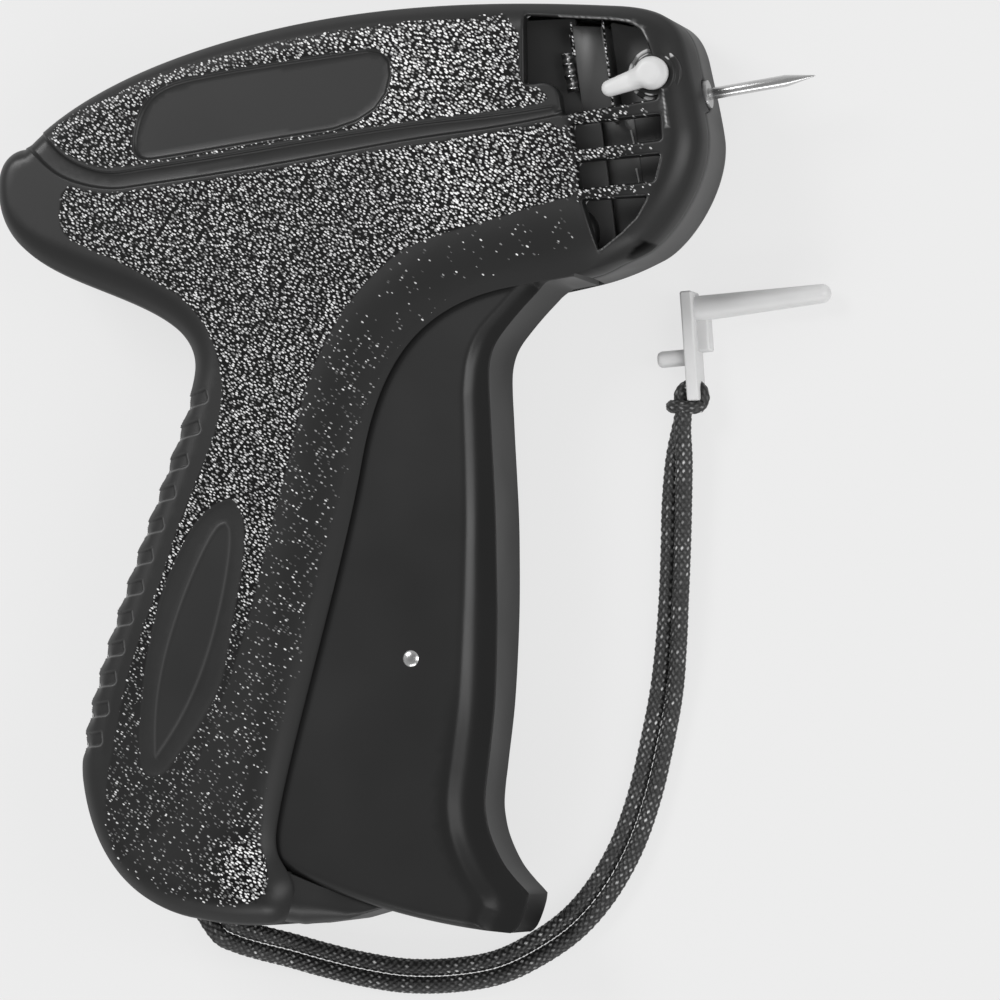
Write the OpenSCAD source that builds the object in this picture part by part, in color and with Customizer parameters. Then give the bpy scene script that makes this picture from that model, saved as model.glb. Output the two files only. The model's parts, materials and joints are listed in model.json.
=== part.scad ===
// Tag attacher: a hand tool that pushes plastic fasteners through a hollow needle.
// It lies on its far side. X runs along the needle, Y to the top of the tool, Z up.
// Shapes are drawn about the trigger pivot on the joint plane between the case halves,
// and place() then puts the middle of the tool's footprint at the origin.

/* [Case] */
// Thickness over both halves
case_t = 26; // [24:0.5:30]
// Thickness of the side walls
side_wall = 2.7; // [2.2:0.1:3.2]
// Thickness of the edge walls, in the side view
edge_wall = 3.2; // [2.6:0.1:3.8]
// Rounding of the outer edge
rim_r = 5; // [4:0.25:6]
// Width of the sloping facet beside the trigger
facet_w = 11; // [8:0.5:12]
// How far that facet drops at the trigger
facet_drop = 2.5; // [1.5:0.25:3.5]
// Height of the crown above the trigger pivot
case_top = 43.2; // [40:0.2:47]
// Reach of the nose in front of the trigger pivot
nose_front = 24.8; // [24:0.2:28]
// Underside of the nose below the trigger pivot
nose_floor = 6.9; // [6.4:0.1:8]
// Reach of the tail behind the trigger pivot
tail_back = 98.2; // [95:0.2:104]
// Reach of the neck behind the trigger pivot
neck_back = 68.2; // [66:0.2:70]
// Reach of the grip's heel behind the trigger pivot
heel_back = 97; // [95:0.5:99]
// Lowest point of the grip below the trigger pivot
grip_len = 107.5; // [104:0.5:112]
// Thickness of the lip under the trigger
lip_t = 4.2; // [3.6:0.1:5]
// Half width of that lip
lip_half = 8; // [6:0.25:9]
// Depth of the groove along the case joint
joint_groove = 0.3; // [0.2:0.05:0.5]

/* [Case details] */
// Width of the smooth band along the flank
band_w = 2.8; // [2:0.2:4]
// Depth of that band and of the name panel
band_depth = 0.7; // [0.4:0.1:1]
// Number of grip ribs on the back of the handle
rib_count = 12; // [8:1:14]
// Diameter of a grip notch
notch_d = 2.3; // [1.8:0.1:3]
// Depth of a grip notch
notch_depth = 0.7; // [0.4:0.1:1]
// Length of the thumb oval
oval_len = 40; // [30:1:46]
// Width of the thumb oval
oval_w = 7.5; // [6:0.5:10]
// Depth of the thumb oval
oval_depth = 0.5; // [0.3:0.1:0.8]
// Thickness of the bars between the ladder slots
bar_t = 1.7; // [1.4:0.1:2]
// Height of a ladder slot
slot_h = 4.3; // [4:0.1:4.8]

/* [Trigger] */
// Half width of the trigger's front edge
trigger_front_half = 7; // [6:0.25:8]
// Half width over the trigger's side panels
trigger_half = 9.5; // [9:0.1:9.7]
// Set-back of the side panels from the front edge
panel_back = 4.4; // [3:0.2:5]
// Wall thickness of the trigger
trigger_wall = 1.8; // [1.4:0.1:2.2]
// Outer radius of the trigger's pivot boss
trigger_boss_r = 4.8; // [4:0.1:5.2]
// Diameter of the trigger's pivot pin
trigger_pivot_d = 3; // [2.4:0.1:3.6]
// Diameter of the cross pin
cross_pin_d = 3.2; // [2.6:0.1:3.6]
// Diameter of the roller on the cross pin
roller_d = 5; // [4.6:0.1:5.6]
// Squeeze of the trigger, in degrees
trigger_turn = 16; // [12:0.5:16]

/* [Drive] */
// Thickness of the drive lever
lever_t = 4; // [3:0.25:5]
// Turns of the lever per turn of the trigger
lever_ratio = 2.1; // [1.9:0.05:2.2]
// Diameter of the lever's pivot pin
lever_pivot_d = 4; // [3:0.2:5]
// Thickness of the plates that carry the lever
plate_t = 1.5; // [1.2:0.1:2]
// Diameter of the pin in the slider
slider_pin_d = 3; // [2.4:0.1:3.6]
// Length of the slider
slider_len = 22; // [18:0.5:24]
// Height of the slider
slider_h = 12; // [11:0.25:13]
// Diameter of the push rod
rod_d = 1.3; // [1.1:0.05:1.4]
// Wire of the return spring
spring_wire = 0.7; // [0.5:0.05:0.8]
// Mean radius of the return spring
spring_r = 3.2; // [2.8:0.1:4]
// Turns of the return spring
spring_turns = 9; // [6:1:10]

/* [Feed] */
// Height of the feed wheel's axle above the trigger pivot
feed_y = 12; // [11.8:0.1:12.4]
// Outer radius of the feed wheel
feed_r = 6.4; // [6:0.1:6.6]
// Teeth on the feed wheel and on its ratchet
feed_teeth = 10; // [8:1:12]
// Diameter of the feed axle
feed_axle_d = 2.4; // [2:0.1:3]
// Width of the feed wheel
feed_w = 5; // [4:0.25:6]

/* [Needle] */
// Height of the needle above the trigger pivot
needle_y = 20.5; // [20:0.1:21.5]
// Outer diameter of the needle
needle_d = 2; // [1.9:0.05:2.4]
// Wall of the needle
needle_wall = 0.25; // [0.2:0.01:0.25]
// Length of needle in front of the nose
needle_out = 18.4; // [14:0.2:22]
// Diameter of the collar at the nose
collar_d = 4.7; // [4:0.1:5.4]
// Thickness of the collar
collar_t = 1.2; // [0.8:0.1:1.8]

/* [Lock] */
// Lock lever's pivot ahead of the trigger pivot
lock_x = 18.7; // [18.2:0.1:19]
// Lock lever's pivot above the needle
lock_up = 3; // [2.8:0.1:3.6]
// Diameter of the lock lever's round head
lock_d = 5.4; // [5:0.1:6]
// Length of the lock lever's arm between centres
lock_arm = 7.2; // [6:0.1:8]
// Thickness of the lock lever
lock_t = 3; // [2:0.1:3.6]
// Diameter of the lock lever's shaft
lock_shaft_d = 3.2; // [2.6:0.1:3.6]

/* [Strap] */
// Diameter of one strand of the strap
cord_d = 2.7; // [2.3:0.1:2.8]
// Length of the needle cap's finger
cap_len = 24; // [20:0.5:28]
// Diameter of the finger at its root
cap_root_d = 4.4; // [4:0.1:5]
// Diameter of the finger at its tip
cap_tip_d = 3.2; // [2.8:0.1:3.8]
// Thickness of the cap's tab
tab_t = 2.3; // [1.8:0.1:2.8]
// Length of the cap's tab
tab_len = 18; // [16:0.5:20]
// Height of the cap's tab off the table
tab_h = 6; // [5:0.25:7]

/* [Fits] */
// Gap between pieces that move past each other
slip = 0.3; // [0.25:0.05:0.4]
// Radial gap of a pin that turns
turn_gap = 0.06; // [0.03:0.01:0.1]
// Radial gap of a pin that is pressed in
seat_gap = 0.02; // [0.01:0.01:0.04]
// Gap under the trigger's edge
lip_gap = 0.5; // [0.4:0.05:0.8]

/* [Hidden] */
$fn = 48;
eps = 0.5;
half_t = case_t / 2;
inner_z = half_t - side_wall;
needle_tip = nose_front + needle_out;

// The trigger's lower edge is an arc about its pivot that just clears the lip.
lip_x = 54.5;
trigger_r = norm([lip_x, grip_len - lip_t]);
heel_x = -27;
trigger_heel = [heel_x, -sqrt(trigger_r * trigger_r - heel_x * heel_x)];
centre = [(needle_tip - tail_back) / 2, (case_top + trigger_heel[1]) / 2];

// Curves
function lerp(a, b, t) = a + (b - a) * t;
function smooth(t) = t * t * (3 - 2 * t);
function cubic(s, t) =
  pow(1 - t, 3) * s[0] + 3 * pow(1 - t, 2) * t * s[1] + 3 * (1 - t) * t * t * s[2] + pow(t, 3) * s[3];
function arc(c, r, a0, a1, n) = [
  for (i = [0:n]) let (a = lerp(a0, a1, i / n)) c + r * [cos(a), sin(a)]
];
function unit(v) = v / norm(v);
// Inward normal of a closed anticlockwise outline at point i
function inward(p, i) =
  let (n = len(p), d = unit(p[(i + 1) % n] - p[(i + n - 1) % n])) [-d[1], d[0]];
function inset(p, by) = [for (i = [0:len(p) - 1]) p[i] + by * inward(p, i)];

// Case outline, anticlockwise from the underside of the nose.
// Each row is a cubic curve, its number of steps, and the edge form at its two ends.
round_edge = [rim_r, rim_r];
facet_edge = [facet_w, facet_drop];
corner_edge = [2.6, 3];
tail_edge = [3, 4];
neck_y = -12;
heel_y = 29 - grip_len;
crown_x = -38;
tail_y = 22;
shoulder = [6 - tail_back, case_top - 13.2];
chin = [nose_front - 13, 2.1 - nose_floor];
nose_top = [nose_front - 10.8, case_top - 6.8];
sole = [-68, 0.8 - grip_len];
mouth = [-43.3, -36.6];
mouth_foot = [-64.3, 14.5 - grip_len];
mouth_heel = [-62.8, 9.2 - grip_len];
brow = [nose_front - 0.8, 27];
crown = [crown_x, case_top];
tail = [-tail_back, tail_y];
tail_foot = [11 - tail_back, 6.6];
neck = [-neck_back, neck_y];
heel = [-heel_back, heel_y];
sole_back = sole - [12, -2.7];
throat = [-9.5, -0.9 - nose_floor];
nose_foot = [0, -nose_floor];
case_curves = [
  [nose_foot, nose_foot + [4, 0.3], chin - [3, 1.1], chin, 4, facet_edge, round_edge],
  [chin, chin + [5.8, 2.3], [nose_front, 6.5], [nose_front, 14], 10, round_edge, round_edge],
  [[nose_front, 14], [nose_front, 18], brow + [0.3, -4], brow, 3, round_edge, round_edge],
  [brow, brow + [-0.4, 5.5], nose_top + [6.5, -1.6], nose_top, 7, round_edge, round_edge],
  [nose_top, nose_top + [-16, 3.6], crown + [18, 0], crown, 7, round_edge, round_edge],
  [crown, crown - [20, 0], shoulder + [12.2, 9.5], shoulder, 8, round_edge, tail_edge],
  [shoulder, shoulder + [-3.8, 0.2], tail + [0, 5], tail, 5, tail_edge, tail_edge],
  [tail, tail - [0, 7], tail_foot + [-6.8, 4.2], tail_foot, 6, tail_edge, round_edge],
  [tail_foot, tail_foot + [9.2, -5.6], neck + [0, 8], neck, 8, round_edge, round_edge],
  [neck, neck - [0, 10], heel + [0, 15], heel, 12, round_edge, round_edge],
  [heel, heel - [0, 14], sole_back + [-10, 3], sole_back, 9, round_edge, round_edge],
  [sole_back, sole - [8, -1.2], sole - [4, -0.4], sole, 3, round_edge, round_edge],
  [sole, sole + [4.5, -0.6], mouth_heel + [2, -4.3], mouth_heel, 7, round_edge, corner_edge],
  [mouth_heel, mouth_heel + [-1, 2.3], mouth_foot + [-0.3, -2.5], mouth_foot, 3, corner_edge, corner_edge],
  [mouth_foot, mouth_foot + [0.3, 6], mouth - [6.7, 18.4], mouth, 9, corner_edge, facet_edge],
  [mouth, mouth + [7.3, 18.1], [-22, -8.2], throat, 9, facet_edge, facet_edge],
  [throat, throat + [3.5, 0.1], nose_foot - [3, 0.4], nose_foot, 3, facet_edge, facet_edge]
];
case_samples = [
  for (c = case_curves) for (i = [0:c[4] - 1])
    [cubic([c[0], c[1], c[2], c[3]], i / c[4]), lerp(c[5], c[6], smooth(i / c[4]))]
];
case_outline = [for (s = case_samples) s[0]];
// Curves 13 to 15 run beside the trigger: the case is open there.
function steps_before(k) = k == 0 ? 0 : case_curves[k - 1][4] + steps_before(k - 1);
mouth_first = steps_before(13) - 3;
mouth_last = steps_before(16);
mouth_deep = 7;
mouth_front = 0.4;

// Triangles of a simple outline, cut off one ear at a time
function turn(a, b, c) = (b[0] - a[0]) * (c[1] - a[1]) - (b[1] - a[1]) * (c[0] - a[0]);
function holds(a, b, c, q) = turn(a, b, q) >= 0 && turn(b, c, q) >= 0 && turn(c, a, q) >= 0;
function is_free(p, left, a, b, c, j = 0) =
  j >= len(left) ? true :
  let (q = p[left[j]])
    q != a && q != b && q != c && holds(a, b, c, q) ? false : is_free(p, left, a, b, c, j + 1);
function is_ear(p, left, k) =
  let (n = len(left), a = p[left[(k + n - 1) % n]], b = p[left[k]], c = p[left[(k + 1) % n]])
    turn(a, b, c) > 0 && is_free(p, left, a, b, c);
function next_ear(p, left, k) = k >= len(left) || is_ear(p, left, k) ? k : next_ear(p, left, k + 1);
function ears(p, left) =
  len(left) == 3 ? [left] :
  let (n = len(left), k = next_ear(p, left, 0) % n)
    concat(
      [[left[(k + n - 1) % n], left[k], left[(k + 1) % n]]],
      ears(p, [for (i = [0:n - 1]) if (i != k) left[i]])
    );

// A closed solid from rings of points, listed from the bottom ring to the top one.
// Outlines that aren't convex have ends = true, which cuts the end faces into triangles here.
module rings_solid(rings, ends = false) {
  n = len(rings[0]);
  last = len(rings) - 1;
  points = [for (r = rings) each r];
  sides = [
    for (k = [0:last - 1]) for (i = [0:n - 1])
      let (a = k * n + i, b = k * n + (i + 1) % n) each [[a, a + n, b + n], [a, b + n, b]]
  ];
  all = [for (i = [0:n - 1]) i];
  floor_faces = ends ? ears(rings[0], all) : [all];
  top_faces = ends ? ears(rings[last], all) : [all];
  polyhedron(points, concat(
    floor_faces, sides, [for (f = top_faces) [for (k = [len(f) - 1:-1:0]) last * n + f[k]]]
  ));
}

// Half of the case as one solid lump: groove at the joint, wall, then the shaped edge
edge_steps = 4;
module case_lump() {
  n = len(case_samples);
  function at(i, by, z) = let (q = case_outline[i] + by * inward(case_outline, i)) [q[0], q[1], z];
  rings = concat(
    [[for (i = [0:n - 1]) at(i, joint_groove, 0)]],
    [[for (i = [0:n - 1]) at(i, 0, 2 * joint_groove)]],
    [
      for (k = [0:edge_steps]) [
        for (i = [0:n - 1])
          let (e = case_samples[i][1], a = 90 * k / edge_steps)
            at(i, e[0] * (1 - cos(a)), half_t - e[1] * (1 - sin(a)))
      ]
    ]
  );
  rings_solid(rings, true);
}

// What is hollow inside one half
module case_hollow() {
  translate([0, 0, -eps]) linear_extrude(inner_z + eps) polygon(inset(case_outline, edge_wall));
}
// The mouth that the trigger comes out of, and the room for its boss
mouth_half = trigger_half + slip;
module case_mouth() {
  translate([0, 0, -2 * eps]) cylinder(r = trigger_boss_r + slip, h = mouth_half + 2 * eps);
  intersection() {
    translate([0, 0, -3 * eps]) linear_extrude(mouth_half + 3 * eps) polygon(concat(
      [for (i = [mouth_first:mouth_last]) case_outline[i] + mouth_deep * inward(case_outline, i)],
      [[mouth_front, 0], [mouth_front, -2 * mouth_deep]],
      [for (i = [mouth_last:-1:mouth_first]) case_outline[i] + [9, -4]]
    ));
    translate([0, 0, -5 * eps]) cylinder(r = trigger_r + lip_gap, h = case_t, $fn = 96);
  }
}

// Lip that closes the handle below the trigger's lower edge
module lip() {
  difference() {
    linear_extrude(lip_half) polygon([
      mouth_heel + [-4, -2], sole + [0, 1], sole + [6, -0.7], [-lip_x, -grip_len],
      [7.5 - lip_x, 1.1 - grip_len], [8 - lip_x, 3 - grip_len], mouth_heel + [8, 4]
    ]);
    translate([0, 0, -1]) cylinder(r = trigger_r + lip_gap, h = case_t, $fn = 96);
  }
}

// Smooth band that runs from the tail to the window, and the bare name panel above it
band_curves = [
  [[2.6, 20.2], [-20, 21], [-50, 20.8], [-72, 21.4]],
  [[-72, 21.4], [-80, 21.4], [-85, 25], [5.8 - tail_back, 34]]
];
band_line = [for (c = band_curves) for (i = [0:7]) cubic(c, i / 8)];
module flank_band() {
  n = len(band_line);
  side = [
    for (i = [0:n - 1])
      let (d = unit(band_line[min(i + 1, n - 1)] - band_line[max(i - 1, 0)])) [-d[1], d[0]] * band_w / 2
  ];
  translate([0, 0, half_t - band_depth]) linear_extrude(case_t) polygon(concat(
    [for (i = [0:n - 1]) band_line[i] + side[i]],
    [for (i = [n - 1:-1:0]) band_line[i] - side[i]]
  ));
}
module name_panel() {
  translate([0, 0, half_t - band_depth]) linear_extrude(case_t) polygon(concat(
    [[-29, 23.6], [-24.2, 35.8]],
    arc([-66, 30], 6.4, 90, 180, 6),
    arc([-69.5, 26.5], 2.9, 180, 270, 4)
  ));
}

// Notches across the rounded back of the handle, and the thumb oval beside them
notch_first = 0.14;
notch_last = 0.86;
module grip_notches() {
  c = case_curves[9];
  for (k = [0:rib_count - 1]) {
    t = lerp(notch_first, notch_last, k / (rib_count - 1));
    p = cubic([c[0], c[1], c[2], c[3]], t);
    reach = rim_r - notch_depth + notch_d / 2;
    translate([p[0] + rim_r, p[1], half_t - rim_r])
      rotate([0, 45, 0])
        translate([-reach, 0, 0])
          cylinder(d = notch_d, h = 2 * rim_r, center = true, $fn = 24);
  }
}
oval_at = [-73.5, -57.5];
oval_lean = 27;
module thumb_oval() {
  bow = (oval_len * oval_len / 4 + oval_w * oval_w / 4) / oval_w;
  translate([oval_at[0], oval_at[1], half_t - oval_depth]) rotate(-oval_lean) intersection() {
    translate([bow - oval_w / 2, 0, 0]) cylinder(r = bow, h = case_t, $fn = 128);
    translate([oval_w / 2 - bow, 0, 0]) cylinder(r = bow, h = case_t, $fn = 128);
  }
}

// Window over the feed and the ladder of slots below it
window_left = -1.8;
window_foot = needle_y - 1.2;
slot_left = 3.6;
lobe_r = 3.1;
lobe_at = [-0.7, window_foot + 3];
window_corner = [[18.4, 29.2], [17.9, 31.4], [16.2, 32.9], [12.4, 34]];
module nose_windows() {
  slot_2_top = window_foot - bar_t;
  slot_3_top = slot_2_top - slot_h - bar_t;
  slot_4_top = slot_3_top - slot_h - bar_t;
  translate([0, 0, inner_z - eps]) linear_extrude(case_t) {
    polygon(concat(
      [[lobe_at[0] + lobe_r, window_foot], [nose_front - 6, window_foot]],
      [[nose_front - 5.4, window_foot + 4]],
      [for (i = [0:6]) cubic(window_corner, i / 6)],
      [[window_left, 37.2], [window_left - 1.5, lobe_at[1] + lobe_r + 0.2]],
      arc(lobe_at, lobe_r, 100, 0, 8)
    ));
    polygon([
      [slot_left, slot_2_top - slot_h], [nose_front - 6, slot_2_top - slot_h],
      [nose_front - 5.6, slot_2_top], [slot_left, slot_2_top]
    ]);
    polygon([
      [slot_left, slot_3_top - slot_h], [nose_front - 8.4, slot_3_top - slot_h],
      [nose_front - 6.6, slot_3_top], [slot_left, slot_3_top]
    ]);
    polygon([
      [slot_left + 1, -3.4], [9.2, -1.2], [nose_front - 11, 2.9],
      [nose_front - 9, slot_4_top], [slot_left, slot_4_top]
    ]);
  }
}

// Fastening points, and what stands up from the inner walls
screw_d = 2.5;
screw_head_d = 5;
screw_boss_r = 3.2;
screw_places = [[11 - tail_back, 17], [-22, case_top - 8], [-84, 15 - grip_len], [5.4 - neck_back, -11]];
plate_places = [[-53, 4], [-39, 4]];
plate_z = lever_t / 2 + 1;
plate_peg_d = 2.4;
lever_at = [-46, -33];
rail_t = 1.2;
rail_z = 5.5;
rail_back = 18 - tail_back;
rail_front = -12;
module inner_features() {
  for (s = screw_places)
    translate([s[0], s[1], 0]) cylinder(r = screw_boss_r, h = inner_z + eps);
  for (s = plate_places) {
    translate([s[0], s[1], plate_z + plate_t]) cylinder(r = 2.8, h = inner_z - plate_z - plate_t + eps);
    translate([s[0], s[1], plate_z]) cylinder(d = plate_peg_d, h = inner_z - plate_z);
  }
  for (y = [needle_y - slider_h / 2 - slip - rail_t, needle_y + slider_h / 2 + slip])
    translate([rail_back, y, rail_z]) cube([rail_front - rail_back, rail_t, inner_z - rail_z + eps]);
}
pin_depth = 1.2;
module pin_holes() {
  translate([0, 0, -1]) cylinder(d = trigger_pivot_d + 2 * seat_gap, h = inner_z + pin_depth + 1);
  translate([0, feed_y, -1]) cylinder(d = feed_axle_d + 2 * seat_gap, h = inner_z + pin_depth + 1);
}
module needle_port() {
  translate([nose_front - 12, needle_y, 0]) rotate([0, 90, 0]) cylinder(d = collar_d + 2 * slip, h = 20);
}
// Block in the sole that carries the strap's bar, with the slot that the strap leaves by
strap_at = [-79.5, 5.8 - grip_len];
strap_bar_d = 2.4;
strap_bar_half = 7;
strap_slot_half = 4;
strap_room = strap_bar_d / 2 + cord_d + slip;
module strap_block() {
  intersection() {
    translate([strap_at[0] - strap_room - 2, strap_at[1] - 4, 0])
      cube([2 * strap_room + 4, strap_room + 5.5, inner_z]);
    linear_extrude(half_t) polygon(inset(case_outline, edge_wall / 2));
  }
}
module strap_slot() {
  translate([strap_at[0] - strap_room, strap_at[1] - 12, -eps])
    cube([2 * strap_room, strap_room + 12, strap_slot_half + eps]);
}
module strap_bar_hole() {
  translate([strap_at[0], strap_at[1], -1]) cylinder(d = strap_bar_d + 2 * seat_gap, h = strap_bar_half + 1);
}

module case_half() {
  difference() {
    union() {
      difference() {
        difference() {
          case_lump();
          case_hollow();
        }
        case_mouth();
      }
      inner_features();
      lip();
      strap_block();
    }
    pin_holes();
    needle_port();
    flank_band();
    thumb_oval();
    grip_notches();
    strap_slot();
    strap_bar_hole();
  }
}
// The half that is seen
lock_at = [lock_x, needle_y + lock_up];
lock_boss_r = 4.6;
module near_case() {
  color("#3a3a3a") difference() {
    union() {
      difference() {
        case_half();
        name_panel();
        nose_windows();
      }
      translate([lock_at[0], lock_at[1], lock_cam_z + lock_cam_t + slip])
        cylinder(r = lock_boss_r, h = half_t - lock_ring_t / 2 - lock_cam_z - lock_cam_t - slip);
    }
    translate([lock_at[0], lock_at[1], lock_cam_z - slip])
      cylinder(r = lock_cam_reach + slip, h = lock_cam_t + 2 * slip);
    translate([lock_at[0], lock_at[1], half_t - lock_ring_t])
      cylinder(r = lock_boss_r - lock_ring_in + seat_gap, h = case_t);
    translate([lock_at[0], lock_at[1], -1]) cylinder(d = lock_shaft_d + 2 * turn_gap, h = case_t);
    for (s = screw_places)
      translate([s[0], s[1], -1]) cylinder(d = screw_d - 0.3, h = 8);
  }
}

// The half that it lies on, with the sunk screw heads
screw_sink = 5;
module far_case() {
  color("#3a3a3a") difference() {
    mirror([0, 0, 1]) case_half();
    for (s = screw_places) {
      translate([s[0], s[1], -half_t - 1]) cylinder(d = screw_head_d + 2 * slip, h = screw_sink + 1);
      translate([s[0], s[1], -half_t - 1]) cylinder(d = screw_d + 2 * seat_gap, h = case_t);
    }
  }
}

module case_screws() {
  color("#8c8c8c") for (s = screw_places)
    translate([s[0], s[1], screw_sink - half_t]) {
      translate([0, 0, -2]) difference() {
        cylinder(d = screw_head_d, h = 2);
        for (a = [0, 90]) rotate(a) translate([-1.5, -0.35, -1]) cube([3, 0.7, 2]);
      }
      cylinder(d = screw_d - 0.3 - 2 * seat_gap, h = half_t - screw_sink + 6);
    }
}

module trigger_pivot_pin() {
  reach = inner_z + pin_depth - slip;
  color("#a8a8a8") translate([0, 0, -reach]) cylinder(d = trigger_pivot_d, h = 2 * reach);
}

// Trigger: front edge, set-back side panels with a soft shoulder, arc below, boss above
front_top = [-17.6, -17.5];
front_mid = [-20.5, -50];
front_low = [-28.1, 24 - trigger_r];
toe = [-22.9, 9.2 - trigger_r];
trigger_curves = [
  [[-0.4, -0.15 - nose_floor], [-6, -0.3 - nose_floor], front_top + [3.2, 5.1], front_top, 5, 0, 1],
  [front_top, front_top + [-1.7, -3.5], front_mid + [1.5, 12], front_mid, 6, 1, 1],
  [front_mid, front_mid - [1.1, 9], front_low + [0.5, 9.5], front_low, 6, 1, 1],
  [front_low, front_low - [0, 6.5], toe + [-2.7, 3.3], toe, 5, 1, 1],
  [toe, toe + [1.5, -2.6], [-22.6, 3.6 - trigger_r], trigger_heel, 4, 1, 0]
];
trigger_tail_x = -66.5;
trigger_tail = [trigger_tail_x, -sqrt(trigger_r * trigger_r - trigger_tail_x * trigger_tail_x)];
sole_from = 180 + atan2(-trigger_heel[1], -trigger_heel[0]);
sole_to = 180 + atan2(-trigger_tail[1], -trigger_tail[0]);
trigger_rear = [trigger_tail, [-62, -62], [-48, -6], [-1, trigger_boss_r]];
// Each sample is a point and its share of the panels' set-back
trigger_samples = [
  for (i = [0:7]) let (a = lerp(sole_to, sole_from, i / 8)) [trigger_r * [cos(a), sin(a)], 0],
  for (k = [len(trigger_curves) - 1:-1:0]) for (i = [trigger_curves[k][4]:-1:1])
    let (c = trigger_curves[k], t = i / c[4])
      [cubic([c[0], c[1], c[2], c[3]], t), lerp(c[5], c[6], smooth(t))],
  for (i = [0:4]) [trigger_boss_r * [sin(36 * i), -cos(36 * i)], 0],
  for (i = [10:-1:1]) [cubic(trigger_rear, i / 10), 0]
];
trigger_outline = [for (s = trigger_samples) s[0]];
shoulder_r = 1.8;
module trigger_lump() {
  n = len(trigger_samples);
  step_z = trigger_front_half;
  function at(i, by, z) =
    let (q = trigger_outline[i] + by * inward(trigger_outline, i)) [q[0], q[1], z];
  profile = [
    [-trigger_half, panel_back + 0.4, 1.3], [-trigger_half + 0.5, panel_back, 0.5],
    [-trigger_half + shoulder_r, panel_back - 0.6, 0], [-step_z - 0.4, panel_back - 0.9, 0],
    [-step_z, 0.9, 0], [-step_z + 0.9, 0, 0],
    [step_z - 0.9, 0, 0], [step_z, 0.9, 0],
    [step_z + 0.4, panel_back - 0.9, 0], [trigger_half - shoulder_r, panel_back - 0.6, 0],
    [trigger_half - 0.5, panel_back, 0.5], [trigger_half, panel_back + 0.4, 1.3]
  ];
  rings_solid([
    for (r = profile) [
      for (i = [0:n - 1])
        let (m = trigger_samples[i][1]) at(i, r[1] * m + r[2] * (1 - m), r[0])
    ]
  ], true);
}
// The trigger is a channel, open behind: wide between its panels, narrow in its front edge
module trigger_hollow(half, back) {
  front = [
    for (k = [1:3]) for (i = [0:5])
      let (c = trigger_curves[k]) cubic([c[0], c[1], c[2], c[3]], i / 6) + [-back, 0]
  ];
  intersection() {
    translate([0, 0, -half]) linear_extrude(2 * half) polygon(concat(
      [[-8, 12], [-8, -1.8], [-10 - back * 0.7, back - 11.5]], front,
      [[-30, -trigger_r], [-trigger_r, -trigger_r], [-trigger_r, 12]]
    ));
    translate([0, 0, -case_t]) cylinder(r = trigger_r - trigger_wall, h = 2 * case_t, $fn = 96);
  }
}
module trigger_cavity() {
  trigger_hollow(trigger_half - trigger_wall, panel_back + trigger_wall);
  trigger_hollow(trigger_front_half - trigger_wall, trigger_wall + 0.6);
}
cross_pin_at = [-37, -66];
module trigger() {
  color("#2b2b2b") difference() {
    trigger_lump();
    trigger_cavity();
    translate([0, 0, -case_t]) cylinder(d = trigger_pivot_d + 2 * turn_gap, h = 2 * case_t);
    translate([cross_pin_at[0], cross_pin_at[1], -case_t])
      cylinder(d = cross_pin_d + 2 * seat_gap, h = 2 * case_t);
    pawl_seat();
  }
}

module trigger_pin() {
  dome = 0.5;
  color("#c8c8c8") translate([cross_pin_at[0], cross_pin_at[1], 0]) rotate_extrude() polygon([
    [0, -trigger_half], [cross_pin_d / 2, -trigger_half], [cross_pin_d / 2, trigger_half - dome],
    [cross_pin_d / 2 - 0.5, trigger_half - 0.1], [0.5, trigger_half + 0.1], [0, trigger_half + 0.1]
  ]);
}

module trigger_roller() {
  color("#e0e0dc") translate([cross_pin_at[0], cross_pin_at[1], -lever_t / 2 - 1]) difference() {
    cylinder(d = roller_d, h = lever_t + 2);
    translate([0, 0, -1]) cylinder(d = cross_pin_d + 2 * turn_gap, h = lever_t + 4);
  }
}

// Pawl on top of the trigger's boss that works the feed ratchet
pawl_z = 4;
pawl_t = 1.5;
pawl_w = 2.4;
pawl_gap = 0.4;
ratchet_r = 5.2;
pawl_foot = 2.2;
module pawl_seat() {
  translate([-pawl_w / 2 - seat_gap, pawl_foot, pawl_z - seat_gap])
    cube([pawl_w + 2 * seat_gap, 6, pawl_t + 2 * seat_gap]);
}
module feed_pawl() {
  top = feed_y - ratchet_r - pawl_gap;
  color("#b0b0b0") translate([0, 0, pawl_z]) linear_extrude(pawl_t) polygon([
    [-pawl_w / 2, pawl_foot + seat_gap], [pawl_w / 2, pawl_foot + seat_gap],
    [pawl_w / 2, top - 0.8], [pawl_w / 2 - 0.8, top], [-pawl_w / 2, top - 0.6]
  ]);
}

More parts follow.
